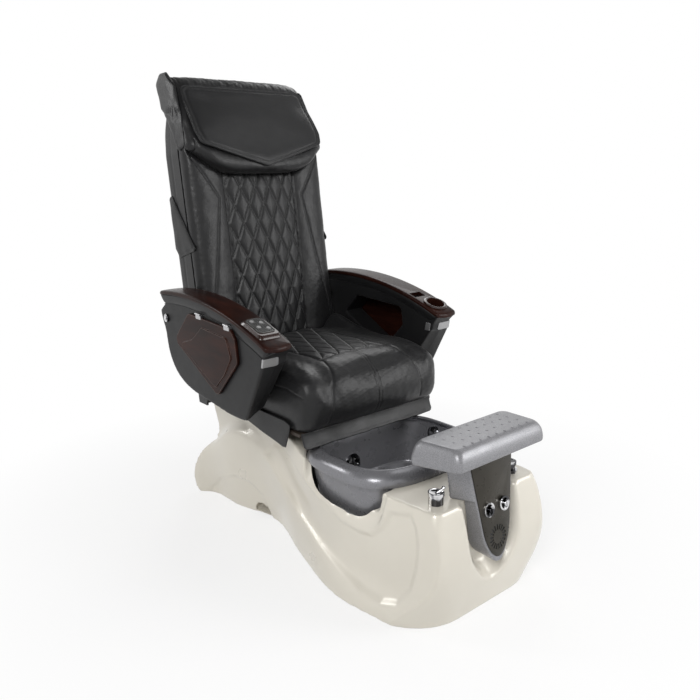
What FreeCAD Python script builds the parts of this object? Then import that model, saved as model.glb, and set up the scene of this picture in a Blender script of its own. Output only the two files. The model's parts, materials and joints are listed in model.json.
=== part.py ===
"""Pedicure spa chair: a lounge chair with a massage back, riding on a moulded base that holds a
foot basin, a footrest and the water controls. Millimetres, +Z up, the sitter faces -Y and the
sitter's left is +X. The origin is on the floor, at the middle of the chair's outer box."""
import FreeCAD, Part
import math
import os

sizes = {
    # lengths along Y are measured back from the arm fronts, which stand at this Y
    "arm_front": -117.4,
    # base moulding
    "base_wall": 6,
    "deck_top": 333,
    "seat_deck_top": 379,
    "seat_deck_front": 93,
    "base_rear_top": 655,
    # basin, whose plan is a superellipse
    "basin_middle": -108,
    "basin_half_width": 232,
    "basin_half_length": 178,
    "basin_bottom": 188,
    "basin_wall": 6,
    "basin_fit": 0.4,
    "rim_roll": 23,
    "rim_height": 44,
    "drain_y": -150,
    "drain_radius": 20,
    # console in the base front: it leans back, and its origin is at the valve height
    "console_y": -496,
    "console_height": 302,
    "console_lean": 9,
    "recess_back": -452,
    "plate_thickness": 3,
    "valve_spacing": 64,
    "valve_radius": 20,
    "stem_radius": 6,
    "shaft_fit": 0.06,
    "running_gap": 0.4,
    "vent_drop": 84,
    "vent_radius": 25,
    # footrest
    "footrest_front": -518,
    "footrest_rear": -358,
    "footrest_half_width": 180,
    "footrest_low": 450,
    "footrest_thickness": 58,
    "post_radius": 13,
    "post_y": -450,
    "post_foot": 338,
    # fittings on the deck
    "fitting_x": 157,
    "fitting_y": -422,
    "fitting_radius": 20,
    "diverter_height": 25,
    "spray_radius": 15,
    "spray_height": 30,
    # jet in the rear wall of the basin, and the fill spout in its left wall
    "jet_x": -28,
    "jet_height": 261,
    "jet_radius": 28,
    "spout_y": -68,
    "spout_height": 330,
    "spout_radius": 25,
    # floor frame and what stands on it
    "frame_half_gauge": 110,
    "frame_tube": 30,
    "frame_front": -330,
    "frame_rear": 540,
    "foot_height": 26,
    "foot_radius": 25,
    "box_length": 170,
    "inlet_height": 320,
    # seat slide
    "rail_half_gauge": 130,
    "rail_width": 24,
    "rail_height": 18,
    "rail_front": 100,
    "rail_rear": 620,
    "slide_gap": 0.3,
    "seat_tube": 24,
    "seat_frame_front": 110,
    "seat_frame_rear": 540,
    "rod_radius": 5,
    # seat
    "pan_thickness": 10,
    "seat_half_width": 276,
    "seat_front": 3,
    "seat_rear": 476,
    "seat_top": 608,
    "apron_bottom": 385,
    "leather": 3,
    # backrest: it leans back, and its origin is at the foot of its front face
    "back_y": 485,
    "back_height": 601,
    "back_lean": 8.5,
    "back_half_width": 276,
    "back_foot": -38,
    "cushion_top": 700,
    "cushion_depth": 48,
    "shell_rear": 150,
    "shell_wall": 4,
    "shell_top": 826,
    "back_tube": 24,
    "back_bar_x": 242,
    "recline_y": 515,
    "recline_height": 455,
    "pin_radius": 8,
    # massage unit inside the backrest
    "massage_depth": 106,
    "massage_rail_x": 90,
    "massage_rail_radius": 6,
    "massage_foot": 100,
    "massage_head": 620,
    "carriage_height": 330,
    "carriage_length": 60,
    "roller_radius": 19,
    "roller_depth": 73,
    "screw_radius": 7,
    # arms
    "arm_inner": 300,
    "arm_outer": 383,
    "cap_inner": 297,
    "cap_outer": 391,
    "cap_thickness": 13,
    "rail_drop": 41,
    "pivot_y": 562,
    "pivot_height": 702,
    "bracket_inner": 284,
    "bracket_thickness": 6,
    "door_gap": 0.4,
    "door_thickness": 9,
    "panel_rise": 3,
    "window_inset": 26,
    "cup_x": 344,
    "cup_y": 52,
    "cup_radius": 33,
    "cup_depth": 50,
    "slot_x": 328,
    "slot_y": 124,
    "slot_width": 40,
    "slot_length": 34,
    "keypad_x": 345,
    "keypad_y": 88,
    "keypad_length": 80,
    "keypad_width": 56,
    "pod_height": 9,
    "key_radius": 6,
    "key_rise": 2.4,
}

Vector = FreeCAD.Vector
doc = FreeCAD.newDocument("PedicureSpaChair")
sheet = doc.addObject("Spreadsheet::Sheet", "Sizes")
for row, (alias, number) in enumerate(sizes.items(), 1):
    sheet.set("A%d" % row, alias)
    sheet.set("B%d" % row, str(number))
    sheet.setAlias("B%d" % row, alias)
doc.recompute()


class Values:
    """The sheet's values as plain attributes."""


d = Values()
for alias in sizes:
    setattr(d, alias, float(sheet.get(alias)))

nodes = []
chairPlace = FreeCAD.Placement(Vector(0, d.arm_front, 0), FreeCAD.Rotation())


def leaning(x, y, z, degrees):
    """A placement whose +Z leans back by these degrees."""
    turn = FreeCAD.Rotation(Vector(1, 0, 0), -degrees)
    return FreeCAD.Placement(Vector(x, d.arm_front + y, z), turn)


backPlace = leaning(0, d.back_y, d.back_height, d.back_lean)
consolePlace = leaning(0, d.console_y, d.console_height, d.console_lean)


def keep(obj, label):
    """Name a finished sub-part."""
    obj.Label = label
    nodes.append(obj)
    return obj


def bind(obj, **formulas):
    """Tie properties of an object to cells of the sheet."""
    for prop, formula in formulas.items():
        obj.setExpression(prop, formula)
    return obj


def place(obj, x, y, z, turn=None):
    """Put an object at formulas of the sheet, with Y measured back from the arm fronts."""
    if turn is not None:
        obj.Placement = FreeCAD.Placement(Vector(), FreeCAD.Rotation(*turn))
    obj.setExpression("Placement.Base.x", x)
    obj.setExpression("Placement.Base.y", "Sizes.arm_front + " + y)
    obj.setExpression("Placement.Base.z", z)
    return obj


alongX = (Vector(0, 1, 0), 90)
alongY = (Vector(1, 0, 0), -90)


def box(name, length, width, height, x, y, z):
    obj = doc.addObject("Part::Box", name)
    bind(obj, Length=length, Width=width, Height=height)
    return place(obj, x, y, z)


def cylinder(name, radius, height, x, y, z, turn=None):
    obj = doc.addObject("Part::Cylinder", name)
    bind(obj, Radius=radius, Height=height)
    return place(obj, x, y, z, turn)


def fuse(name, parts):
    obj = doc.addObject("Part::MultiFuse", name)
    obj.Shapes = parts
    return obj


def cut(name, base, tool):
    obj = doc.addObject("Part::Cut", name)
    obj.Base = base
    obj.Tool = tool
    return obj


def feature(label, shape, where=None):
    """A finished sub-part whose shape is worked out in this file."""
    obj = doc.addObject("Part::Feature", label)
    obj.Shape = shape
    obj.Placement = (where or chairPlace).multiply(shape.Placement)
    return keep(obj, label)


def mirrored(shape):
    return shape.mirror(Vector(0, 0, 0), Vector(1, 0, 0))


def joined(shapes):
    whole = shapes[0]
    for other in shapes[1:]:
        whole = whole.fuse(other)
    return whole.removeSplitter()


def without(shape, tools):
    for tool in tools:
        shape = shape.cut(tool)
    return shape


def block(x0, x1, y0, y1, z0, z1):
    return Part.makeBox(x1 - x0, y1 - y0, z1 - z0, Vector(x0, y0, z0))


def rod(radius, start, along):
    return Part.makeCylinder(radius, along.Length, start, along)


def smooth(points, closed=False):
    """A smooth curve through points."""
    curve = Part.BSplineCurve()
    curve.interpolate(Points=points, PeriodicFlag=closed)
    return curve.toShape()


def guided(points):
    """A smooth curve drawn by guide points, which it stays within."""
    curve = Part.BSplineCurve()
    curve.buildFromPoles(points, False, 3)
    return curve.toShape()


def rounded(points, radius):
    """A closed outline of straight edges with its corners rounded."""
    edges = []
    ends = []
    count = len(points)
    for i, corner in enumerate(points):
        before, after = points[i - 1], points[(i + 1) % count]
        toBefore = (before - corner).normalize()
        toAfter = (after - corner).normalize()
        half = math.acos(max(-1, min(1, toBefore * toAfter))) / 2
        reach = radius / math.tan(half)
        middle = (toBefore + toAfter).normalize() * (radius / math.sin(half) - radius)
        ends.append((corner + toBefore * reach, corner + middle, corner + toAfter * reach))
    for i, (start, middle, end) in enumerate(ends):
        edges.append(Part.Arc(start, middle, end).toShape())
        edges.append(Part.makeLine(end, ends[(i + 1) % count][0]))
    return Part.Wire(edges)


def prism(wire, along):
    return Part.Face(wire).extrude(along)


def outline(points):
    return Part.makePolygon(points + [points[0]])


def loft(wires, ruled=False):
    return Part.makeLoft(wires, True, ruled)


# Base moulding


def superellipse(shrink, z, grow=0, power=4.4):
    """The basin's outline in plan: the higher the power, the squarer its corners."""
    half_width = d.basin_half_width - shrink + grow
    half_length = d.basin_half_length - shrink + grow
    count = 24
    points = []
    for i in range(count):
        a = 2 * math.pi * i / count
        c, t = math.cos(a), math.sin(a)
        points.append(Vector(
            math.copysign(abs(c) ** (2 / power), c) * half_width,
            d.basin_middle + math.copysign(abs(t) ** (2 / power), t) * half_length,
            z,
        ))
    return Part.Wire(smooth(points, True))


# The sides of the base, read at stations from front to rear: how far back the station is, then
# half widths and heights of the skirt's foot, the ridge that sweeps from the front skirt up to the
# rear scroll, the hollow above it, the shelf beside the basin and the top edge.
stations = [
    # back, foot, ridge, ridge height, hollow, hollow height, shelf, top
    (-560, 288, 262, 78, 240, 116, 226, 206),
    (-430, 286, 262, 75, 238, 112, 234, 208),
    (-300, 286, 268, 60, 242, 106, 250, 226),
    (-180, 294, 272, 68, 246, 114, 256, 240),
    (-72, 274, 258, 96, 242, 142, 256, 244),
    (30, 242, 238, 130, 224, 174, 248, 243),
    (110, 216, 224, 152, 203, 196, 236, 236),
    (200, 180, 212, 214, 190, 250, 206, 212),
    (300, 154, 206, 268, 182, 296, 186, 196),
    (414, 174, 216, 300, 184, 326, 184, 188),
    (522, 196, 222, 268, 186, 300, 184, 185),
    (640, 206, 221, 190, 186, 226, 183, 182),
    (760, 212, 220, 110, 186, 150, 182, 180),
]


def baseSides(inset):
    """The side walls as one body; inset draws the cavity inside them."""
    wires = []
    floor = -5 if inset else 0
    top_reach = d.seat_deck_top + 20
    for back, foot, ridge, ridge_top, hollow, hollow_top, shelf, top in stations:
        half = [
            (foot, floor),
            ((foot + ridge) / 2 + 5, ridge_top * 0.5),
            (ridge + 2, ridge_top - 12),
            (ridge - 8, ridge_top + 3),
            (hollow, hollow_top),
            (shelf, (hollow_top + 340) / 2),
            (top, top_reach),
        ]
        right = [Vector(x - inset, back, z) for x, z in half]
        left = [Vector(-p.x, p.y, p.z) for p in right]
        wires.append(Part.Wire([
            Part.makeLine(left[0], right[0]),
            guided(right),
            Part.makeLine(right[-1], left[-1]),
            guided(left[::-1]),
        ]))
    return loft(wires)


# The front of the base at rising heights: its foremost point, half width and corner radius
fronts = [
    (-80, -468, 292, 190),
    (0, -480, 292, 180),
    (90, -500, 290, 132),
    (180, -506, 268, 74),
    (260, -495, 242, 44),
    (333, -474, 210, 26),
    (440, -445, 172, 20),
]


def baseFront(inset):
    wires = []
    far_back = 900
    for z, front, half, radius in fronts:
        y, x = front + inset, half - inset
        cy, cx = y + radius, x - radius
        bend = radius * math.sqrt(0.5)
        wires.append(Part.Wire([
            Part.makeLine(Vector(-cx, y, z), Vector(cx, y, z)),
            Part.Arc(
                Vector(cx, y, z), Vector(cx + bend, cy - bend, z), Vector(x, cy, z)
            ).toShape(),
            Part.makeLine(Vector(x, cy, z), Vector(x + 120, far_back, z)),
            Part.makeLine(Vector(x + 120, far_back, z), Vector(-x - 120, far_back, z)),
            Part.makeLine(Vector(-x - 120, far_back, z), Vector(-x, cy, z)),
            Part.Arc(
                Vector(-x, cy, z), Vector(-cx - bend, cy - bend, z), Vector(-cx, y, z)
            ).toShape(),
        ]))
    return loft(wires)


waistHeight = 228
waistStep = 62


def baseProfile(inset):
    """The outline seen from the side: deck, raised seat deck, rear wall and rear scroll."""
    wide = 500
    deck, seat_deck = d.deck_top - inset, d.seat_deck_top - inset
    step, rear = d.seat_deck_front + inset, d.base_rear_top - inset
    tip = d.base_rear_top + 50 - inset

    def at(y, z):
        return Vector(-wide, y, z)

    waist = at(rear - waistStep, waistHeight)
    edges = [
        Part.makeLine(at(-640, -100), at(-640, deck)),
        Part.makeLine(at(-640, deck), at(step - 84, deck)),
        Part.makeLine(at(step - 84, deck), at(step, seat_deck)),
        Part.makeLine(at(step, seat_deck), at(rear, seat_deck)),
        Part.makeLine(at(rear, seat_deck), waist),
        Part.Arc(waist, at(tip - 30, 148), at(tip, 66)).toShape(),
        Part.Arc(at(tip, 66), at(tip - 14, 12), at(tip - 60, -40)).toShape(),
        Part.makeLine(at(tip - 60, -40), at(tip - 60, -100)),
        Part.makeLine(at(tip - 60, -100), at(-640, -100)),
    ]
    return prism(Part.Wire(edges), Vector(2 * wide, 0, 0))


def arch(y, half_top, z_top, half_low, z_low, z_bottom, where=None):
    """A tapered U, open side up, in the plane at this y."""
    a, b = Vector(-half_top, y, z_top), Vector(-half_low, y, z_low)
    c, e = Vector(half_low, y, z_low), Vector(half_top, y, z_top)
    low = Vector(0, y, z_bottom)
    if where is not None:
        a, b, c, e, low = [where.multVec(p) for p in (a, b, c, e, low)]
    return Part.Wire([
        Part.makeLine(a, b), Part.Arc(b, low, c).toShape(),
        Part.makeLine(c, e), Part.makeLine(e, a),
    ])


def consoleRecess(grow):
    """The wide U in the base front that the console stands in."""
    return loft([
        arch(-540, 165 + grow, 360, 172 + grow, 165, 30 - grow),
        arch(d.recess_back + grow, 114 + grow, 360, 84 + grow, 200, 122 - grow),
    ], True)


def basinPocket(grow):
    """The dip in each side wall that shows the basin."""
    outer_profile = [
        (-324, 420), (-306, 330), (-300, 293), (-284, 270), (-246, 260), (-183, 257),
        (-121, 260), (-14, 280), (15, 303), (24, 345), (40, 420),
    ]
    inner_profile = [
        (-290, 420), (-284, 340), (-278, 300), (-262, 270), (-230, 264), (-183, 262),
        (-121, 264), (-20, 284), (0, 305), (6, 345), (8, 420),
    ]
    both = []
    for profile, start, along in (
        (outer_profile, d.basin_half_width - 12 - grow, Vector(60, 0, -95)),
        (inner_profile, d.basin_half_width - 72, Vector(72, 0, 0)),
    ):
        points = [Vector(start, y, z - grow) for y, z in profile]
        wire = Part.Wire([smooth(points), Part.makeLine(points[-1], points[0])])
        right = prism(wire, along)
        both += [right, mirrored(right)]
    return both


def rimSeat(grow):
    """The space over the deck that the basin's rim takes, with the walls round it."""
    return prism(
        superellipse(0, d.deck_top - grow, d.rim_roll + 2 + grow, 3.2), Vector(0, 0, 120)
    )


def skirtNotches():
    """A low arch through the skirt at each side, to reach the feet and to lift the base."""
    arches = []
    for side in (-1, 1):
        x = side * 120
        run = Vector(side * 160, 0, 0)
        a, b = Vector(x, 338, -2), Vector(x, 402, -2)
        face = Part.Wire([
            Part.Arc(a, Vector(x, 370, 41), b).toShape(), Part.makeLine(b, a),
        ])
        arches.append(prism(face, run))
    return arches


# the rear wall between the waist and the seat deck leans, and the power inlet sits square to it
rearLean = math.degrees(math.atan2(waistStep, d.seat_deck_top - waistHeight))
inletDrop = d.seat_deck_top - d.inlet_height
inletY = d.base_rear_top - waistStep * inletDrop / (d.seat_deck_top - waistHeight)
inletPlace = leaning(90, inletY, d.inlet_height, rearLean)
inletWidth, inletTall = 44, 24


def inChair(shape, where):
    """Bring a shape drawn in another frame into the chair's own."""
    moved = shape.copy()
    moved.Placement = chairPlace.inverse().multiply(where)
    return moved


def baseShell():
    outer = baseSides(0).common(baseFront(0)).common(baseProfile(0))
    outer = without(outer, [consoleRecess(0), rimSeat(0)] + basinPocket(0) + skirtNotches())
    wall = d.base_wall
    inner = baseSides(wall).common(baseFront(wall)).common(baseProfile(wall))
    inner = without(inner, [consoleRecess(wall), rimSeat(wall)] + basinPocket(wall))
    throat = prism(superellipse(0, d.basin_bottom, d.basin_fit), Vector(0, 0, 200))
    left_hole = rod(
        d.spray_radius - 3 + d.running_gap,
        Vector(d.fitting_x, d.fitting_y, d.deck_top - 20), Vector(0, 0, 40),
    )
    right_hole = rod(
        d.stem_radius + d.running_gap,
        Vector(-d.fitting_x, d.fitting_y, d.deck_top - 20), Vector(0, 0, 40),
    )
    half_width, half_tall = inletWidth / 2 + d.running_gap, inletTall / 2 + d.running_gap
    inlet_hole = inChair(
        block(-half_width, half_width, -30, 20, -half_tall, half_tall), inletPlace
    )
    holes = [throat, left_hole, right_hole, inlet_hole]
    return without(outer.cut(inner), holes)


feature("base_shell", baseShell())


# Basin and its fittings

rimBottom = d.deck_top
rimPower = 3.2
wallFoot = d.basin_bottom + 37


def basinShape():
    levels = [
        (62, d.basin_bottom), (48, d.basin_bottom + 4), (32, d.basin_bottom + 16),
        (20, wallFoot), (0, rimBottom + 1),
    ]
    body = loft([superellipse(shrink, z) for shrink, z in levels], True)
    roll, tall = d.rim_roll, d.rim_height
    rim = loft([
        superellipse(0, rimBottom, roll, rimPower),
        superellipse(0, rimBottom + tall * 0.3, roll, rimPower),
        superellipse(0, rimBottom + tall * 0.62, roll - 6, rimPower),
        superellipse(0, rimBottom + tall * 0.9, roll - 20, rimPower),
        superellipse(0, rimBottom + tall, roll - 30, rimPower),
    ], True)
    wall = d.basin_wall
    slope = 20 / (rimBottom - wallFoot)
    cavity_levels = [
        (62 + wall, d.basin_bottom + wall),
        (48 + wall, d.basin_bottom + wall + 4),
        (32 + wall, d.basin_bottom + wall + 15),
        (20 + wall - slope * wall, wallFoot + wall),
        (wall - slope * 26, rimBottom + 26),
        (14, rimBottom + tall + 0.5),
    ]
    cavity = loft([
        superellipse(shrink, z, 0, rimPower if z > rimBottom + 30 else 4.4)
        for shrink, z in cavity_levels
    ], True)
    drain_hole = rod(
        d.drain_radius, Vector(0, d.drain_y, d.basin_bottom - 10), Vector(0, 0, 30)
    )
    jet_hole = inChair(
        rod(d.jet_radius - 6, Vector(0, -20, 0), Vector(0, 60, 0)), jetPlace
    )
    spout_hole = inChair(
        rod(spoutShank, Vector(-5, 0, -spoutDrop), Vector(30, 0, 0)), spoutPlace
    )
    return without(body.fuse(rim), [cavity, drain_hole, jet_hole, spout_hole])


# the walls between the foot and the rim are straight, and the jet and the spout sit square to them
wallRun = rimBottom - wallFoot
wallSlope = math.degrees(math.atan2(20, wallRun))


def wallInner(reach, height):
    """How far the basin's inner wall is from the middle, at this height."""
    return reach - d.basin_wall - 20 * (rimBottom - height) / wallRun


jetPlace = leaning(
    d.jet_x,
    d.basin_middle + wallInner(d.basin_half_length, d.jet_height),
    d.jet_height, wallSlope,
)
spoutShank, spoutDrop = 7, 10
spoutTurn = FreeCAD.Rotation(Vector(0, 1, 0), wallSlope)
spoutPlace = FreeCAD.Placement(
    Vector(
        wallInner(d.basin_half_width, d.spout_height) - 0.9,
        d.arm_front + d.spout_y, d.spout_height,
    ),
    spoutTurn,
)
feature("basin", basinShape())


def drainFitting():
    top = d.basin_bottom + d.basin_wall
    flange = rod(d.drain_radius + 12, Vector(0, d.drain_y, top), Vector(0, 0, 3))
    tail = rod(d.drain_radius, Vector(0, d.drain_y, top - 70), Vector(0, 0, 71))
    bore = rod(d.drain_radius - 4, Vector(0, d.drain_y, top - 80), Vector(0, 0, 80))
    nut = rod(
        d.drain_radius + 9, Vector(0, d.drain_y, d.basin_bottom - 12), Vector(0, 0, 12)
    )
    holes = [bore]
    for ring, count in ((0, 1), (9, 6), (17, 12)):
        for i in range(count):
            a = 2 * math.pi * i / count
            centre = Vector(ring * math.cos(a), d.drain_y + ring * math.sin(a), top - 1)
            holes.append(rod(2.4, centre, Vector(0, 0, 8)))
    return without(joined([flange, tail, nut]), holes)


feature("drain_fitting", drainFitting())


def alongLocalY(radius, start, end):
    return rod(radius, Vector(0, start, 0), Vector(0, end - start, 0))


def jetRing():
    """A chrome ring with three spokes over the jet's opening."""
    flange = alongLocalY(d.jet_radius, -4.5, -0.5).fuse(alongLocalY(d.jet_radius - 6.4, -2, 11))
    ring = flange.cut(alongLocalY(d.jet_radius - 9, -10, 20))
    hub = alongLocalY(6, -4.5, -0.5)
    spokes = []
    for i in range(3):
        bar = block(-2, 2, -4, -1, 0, d.jet_radius - 7)
        bar.rotate(Vector(), Vector(0, 1, 0), 120 * i)
        spokes.append(bar)
    return joined([ring, hub] + spokes)


feature("rear_jet_ring", jetRing(), jetPlace)
jetShaft = 3


def jetImpeller():
    hub = alongLocalY(6, 1, 9)
    shaft = alongLocalY(jetShaft, 8, 34)
    blades = []
    for i in range(5):
        blade = block(-1, 1, 2, 8, 0, d.jet_radius - 11)
        blade.rotate(Vector(), Vector(0, 0, 1), 25)
        blade.rotate(Vector(), Vector(0, 1, 0), 72 * i)
        blades.append(blade)
    return joined([hub, shaft] + blades)


feature("rear_jet_impeller", jetImpeller(), jetPlace)


def jetMotor():
    """The motor clamps on the basin's outer wall and closes the jet's opening."""
    wall = d.basin_wall
    collar = alongLocalY(d.jet_radius + 4, wall + 0.3, 12).cut(
        alongLocalY(d.jet_radius - 5.6, 0, 20)
    )
    body = alongLocalY(d.jet_radius + 4, 12, 18).fuse(alongLocalY(d.jet_radius, 18, 78))
    return joined([collar, body]).cut(alongLocalY(jetShaft + d.shaft_fit, 0, 36))


feature("rear_jet_motor", jetMotor(), jetPlace)


def fillSpout():
    """A chrome dome on the basin wall with its shank and nut; local +X points out of the basin."""
    radius = d.spout_radius
    disc = rod(radius, Vector(-4, 0, 0), Vector(3.6, 0, 0))
    ball = Part.makeSphere(radius * 1.3, Vector(radius * 1.3 - 13, 0, 0))
    dome = ball.common(rod(radius, Vector(-13, 0, 0), Vector(10, 0, 0)))
    slot = block(-20, -5, -9, 9, -radius * 0.62, -radius * 0.38)
    shank = rod(spoutShank - 0.3, Vector(-2, 0, -spoutDrop), Vector(16, 0, 0))
    nut = rod(11, Vector(d.basin_wall + 0.6, 0, -spoutDrop), Vector(6, 0, 0))
    return joined([disc, dome, shank, nut]).cut(slot)


feature("fill_spout", fillSpout(), spoutPlace)


# Floor frame, feet and electrics

tube = "Sizes.frame_tube"
gauge = "Sizes.frame_half_gauge"
frameBars = []
for side in ("-", ""):
    frameBars.append(box(
        "frame_side", tube, "Sizes.frame_rear - Sizes.frame_front", tube,
        side + gauge + " - Sizes.frame_tube / 2", "Sizes.frame_front", "Sizes.foot_height",
    ))
for back in (
    "Sizes.frame_front", "Sizes.drain_y + 90", "Sizes.seat_frame_front",
    "Sizes.frame_rear - Sizes.box_length + 10", "Sizes.frame_rear - Sizes.frame_tube",
):
    frameBars.append(box(
        "frame_cross", "2 * Sizes.frame_half_gauge", tube, tube, "-" + gauge, back,
        "Sizes.foot_height",
    ))
for side in ("-", ""):
    for back in ("Sizes.seat_frame_front", "Sizes.frame_rear - Sizes.frame_tube"):
        frameBars.append(box(
            "frame_post", tube, tube,
            "Sizes.seat_deck_top - Sizes.base_wall - Sizes.foot_height",
            side + gauge + " - Sizes.frame_tube / 2", back, "Sizes.foot_height",
        ))
keep(fuse("floor_frame", frameBars), "floor_frame")

feet = []
for side in ("-", ""):
    for back in ("Sizes.frame_front + 40", "Sizes.frame_rear - 40"):
        feet.append(cylinder(
            "foot", "Sizes.foot_radius", "Sizes.foot_height", side + gauge, back, "0",
        ))
keep(fuse("levelling_feet", feet), "levelling_feet")

controlBox = box(
    "control_box_body", "150", "Sizes.box_length", "84", "-75",
    "Sizes.frame_rear - Sizes.box_length", "Sizes.foot_height + Sizes.frame_tube",
)
keep(controlBox, "control_box")


def powerInlet():
    flange = block(-inletWidth / 2 - 4, inletWidth / 2 + 4, 0.3, 3.3,
                   -inletTall / 2 - 4, inletTall / 2 + 4)
    body = block(-inletWidth / 2, inletWidth / 2, -22, 1, -inletTall / 2, inletTall / 2)
    socket = block(-inletWidth / 2 + 5, inletWidth / 2 - 5, -16, 5,
                   -inletTall / 2 + 4, inletTall / 2 - 4)
    pins = [block(x - 1, x + 1, -16, -2, -2, 2) for x in (-9, 0, 9)]
    return joined([joined([flange, body]).cut(socket)] + pins)


feature("power_inlet", powerInlet(), inletPlace)


# Console: pedestal, plate, valves

plateTop, plateLow, plateFoot = 138, -83, -158
plateHalfTop, plateHalfLow = 85, 48
padTilt = 16


def padUnderside(y):
    """Height of the footrest's slanted underside."""
    run = d.footrest_rear - d.footrest_front
    return d.footrest_low - padTilt * (y - d.footrest_front) / run


collarRear = -426


def pedestalShape():
    thick = d.plate_thickness
    front = arch(
        thick, plateHalfTop + 5, plateTop, plateHalfLow + 5, plateLow, plateFoot - 5,
        chairPlace.inverse().multiply(consolePlace),
    )
    back = arch(d.recess_back - d.running_gap, 108, 450, 57, 212, 150)
    body = loft([front, back], True)

    def level(z, front_y, front_half, rear_y, rear_half):
        return outline([
            Vector(-front_half, front_y, z), Vector(front_half, front_y, z),
            Vector(rear_half, rear_y, z), Vector(-rear_half, rear_y, z),
        ])

    collar = loft([
        level(d.deck_top, d.recess_back - 34, 80, collarRear, 108),
        level(d.footrest_low + 4, d.recess_back - 16, 90, collarRear, 131),
    ], True)
    gap = d.slide_gap + 0.6
    low, high = d.footrest_front - 40, d.footrest_rear + 40
    over = prism(outline([
        Vector(-300, low, padUnderside(low) - gap), Vector(-300, high, padUnderside(high) - gap),
        Vector(-300, high, 700), Vector(-300, low, 700),
    ]), Vector(600, 0, 0))
    bore = rod(
        d.post_radius + d.shaft_fit, Vector(0, d.post_y, d.post_foot - 1), Vector(0, 0, 300)
    )
    half = d.valve_spacing / 2 + 24
    bay = inChair(block(-half, half, thick - 2, thick + 31, -20, 20), consolePlace)
    vent_bay = inChair(
        alongLocalY(d.vent_radius + 2, thick - 2, thick + 24).translated(
            Vector(0, 0, -d.vent_drop)
        ), consolePlace
    )
    return without(joined([body, collar]), [over, bore, bay, vent_bay])


feature("footrest_pedestal", pedestalShape())


def controlPlate():
    face = arch(0, plateHalfTop, plateTop, plateHalfLow, plateLow, plateFoot)
    plate = prism(face, Vector(0, d.plate_thickness, 0))
    tools = []
    for side in (-1, 1):
        tools.append(alongLocalY(d.stem_radius + d.running_gap, -5, 10).translated(
            Vector(side * d.valve_spacing / 2, 0, 0)
        ))
    slot = block(-1.2, 1.2, -5, 10, d.vent_radius * 0.48, d.vent_radius - 1)
    for i in range(18):
        turned = slot.copy()
        turned.rotate(Vector(), Vector(0, 1, 0), 20 * i)
        turned.translate(Vector(0, 0, -d.vent_drop))
        tools.append(turned)
    return without(plate, tools)


feature("control_plate", controlPlate(), consolePlace)


def mixingValve():
    half = d.valve_spacing / 2 + 16
    thick = d.plate_thickness
    body = block(-half, half, thick, thick + 28, -15, 15)
    bores = [
        alongLocalY(d.stem_radius + d.shaft_fit, thick - 1, thick + 20).translated(
            Vector(side * d.valve_spacing / 2, 0, 0)
        )
        for side in (-1, 1)
    ]
    return without(body, bores)


feature("mixing_valve", mixingValve(), consolePlace)


def valveHandle(side):
    """A chrome ring with a boss, three lobes and a stem that turns in the mixing valve."""
    gap = d.running_gap
    ring = alongLocalY(d.valve_radius, -7, -gap).cut(
        alongLocalY(d.valve_radius - 5, -20, 20)
    )
    boss = alongLocalY(8, -15, -gap)
    stem = alongLocalY(d.stem_radius, -2, d.plate_thickness + 18)
    lobes = []
    for i in range(3):
        lobe = block(-3, 3, -6, -1, 0, d.valve_radius - 3)
        lobe.rotate(Vector(), Vector(0, 1, 0), 120 * i + 60)
        lobes.append(lobe)
    grip = block(-2.5, 2.5, -18, -12, -7.5, 7.5)
    handle = joined([ring, boss, stem, grip] + lobes)
    handle.translate(Vector(side * d.valve_spacing / 2, 0, 0))
    return handle


feature("hot_handle", valveHandle(-1), consolePlace)
feature("cold_handle", valveHandle(1), consolePlace)


# Footrest pad on its post


def footrestPad():
    front, rear = d.footrest_front, d.footrest_rear
    half, tall = d.footrest_half_width, d.footrest_thickness
    # share of the height, half widths at the front and the rear, how far each end is drawn in
    rings = [
        (0, half - 6, half + 14, 7, 8),
        (0.08, half, half + 22, 0, 0),
        (0.7, half - 4, half + 12, 8, 3),
        (0.92, half - 8, half + 5, 16, 7),
        (1, half - 16, half - 4, 25, 13),
    ]
    wires = []
    for share, front_half, rear_half, front_in, rear_in in rings:
        points = []
        for x, y in (
            (-front_half, front + front_in), (front_half, front + front_in),
            (rear_half, rear - rear_in), (-rear_half, rear - rear_in),
        ):
            slant = padTilt * (y - front) / (rear - front) * (1 - share * 0.55)
            points.append(Vector(x, y, d.footrest_low - slant + tall * share))
        wires.append(rounded(points, 20))
    pad = loft(wires)
    socket = rod(d.post_radius, Vector(0, d.post_y, 300), Vector(0, 0, padSocket - 300))
    return pad.cut(socket)


padSocket = d.footrest_low + 14
feature("footrest_pad", footrestPad())
keep(cylinder(
    "footrest_post", "Sizes.post_radius", "Sizes.footrest_low + 14 - Sizes.post_foot", "0",
    "Sizes.post_y", "Sizes.post_foot",
), "footrest_post")


# Deck fittings: the diverter on the sitter's right, the pull-out spray on the sitter's left

divX = "-Sizes.fitting_x"
divY = "Sizes.fitting_y"
diverter = fuse("diverter_solid", [
    cylinder("diverter_barrel", "Sizes.fitting_radius", "Sizes.diverter_height", divX, divY,
             "Sizes.deck_top"),
    cylinder("diverter_shank", "Sizes.stem_radius", "40", divX, divY, "Sizes.deck_top - 30"),
])
keep(cut("diverter_body", diverter, cylinder(
    "diverter_bore", "Sizes.stem_radius - 1 + Sizes.shaft_fit", "60", divX, divY,
    "Sizes.deck_top + 4",
)), "diverter_body")


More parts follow.
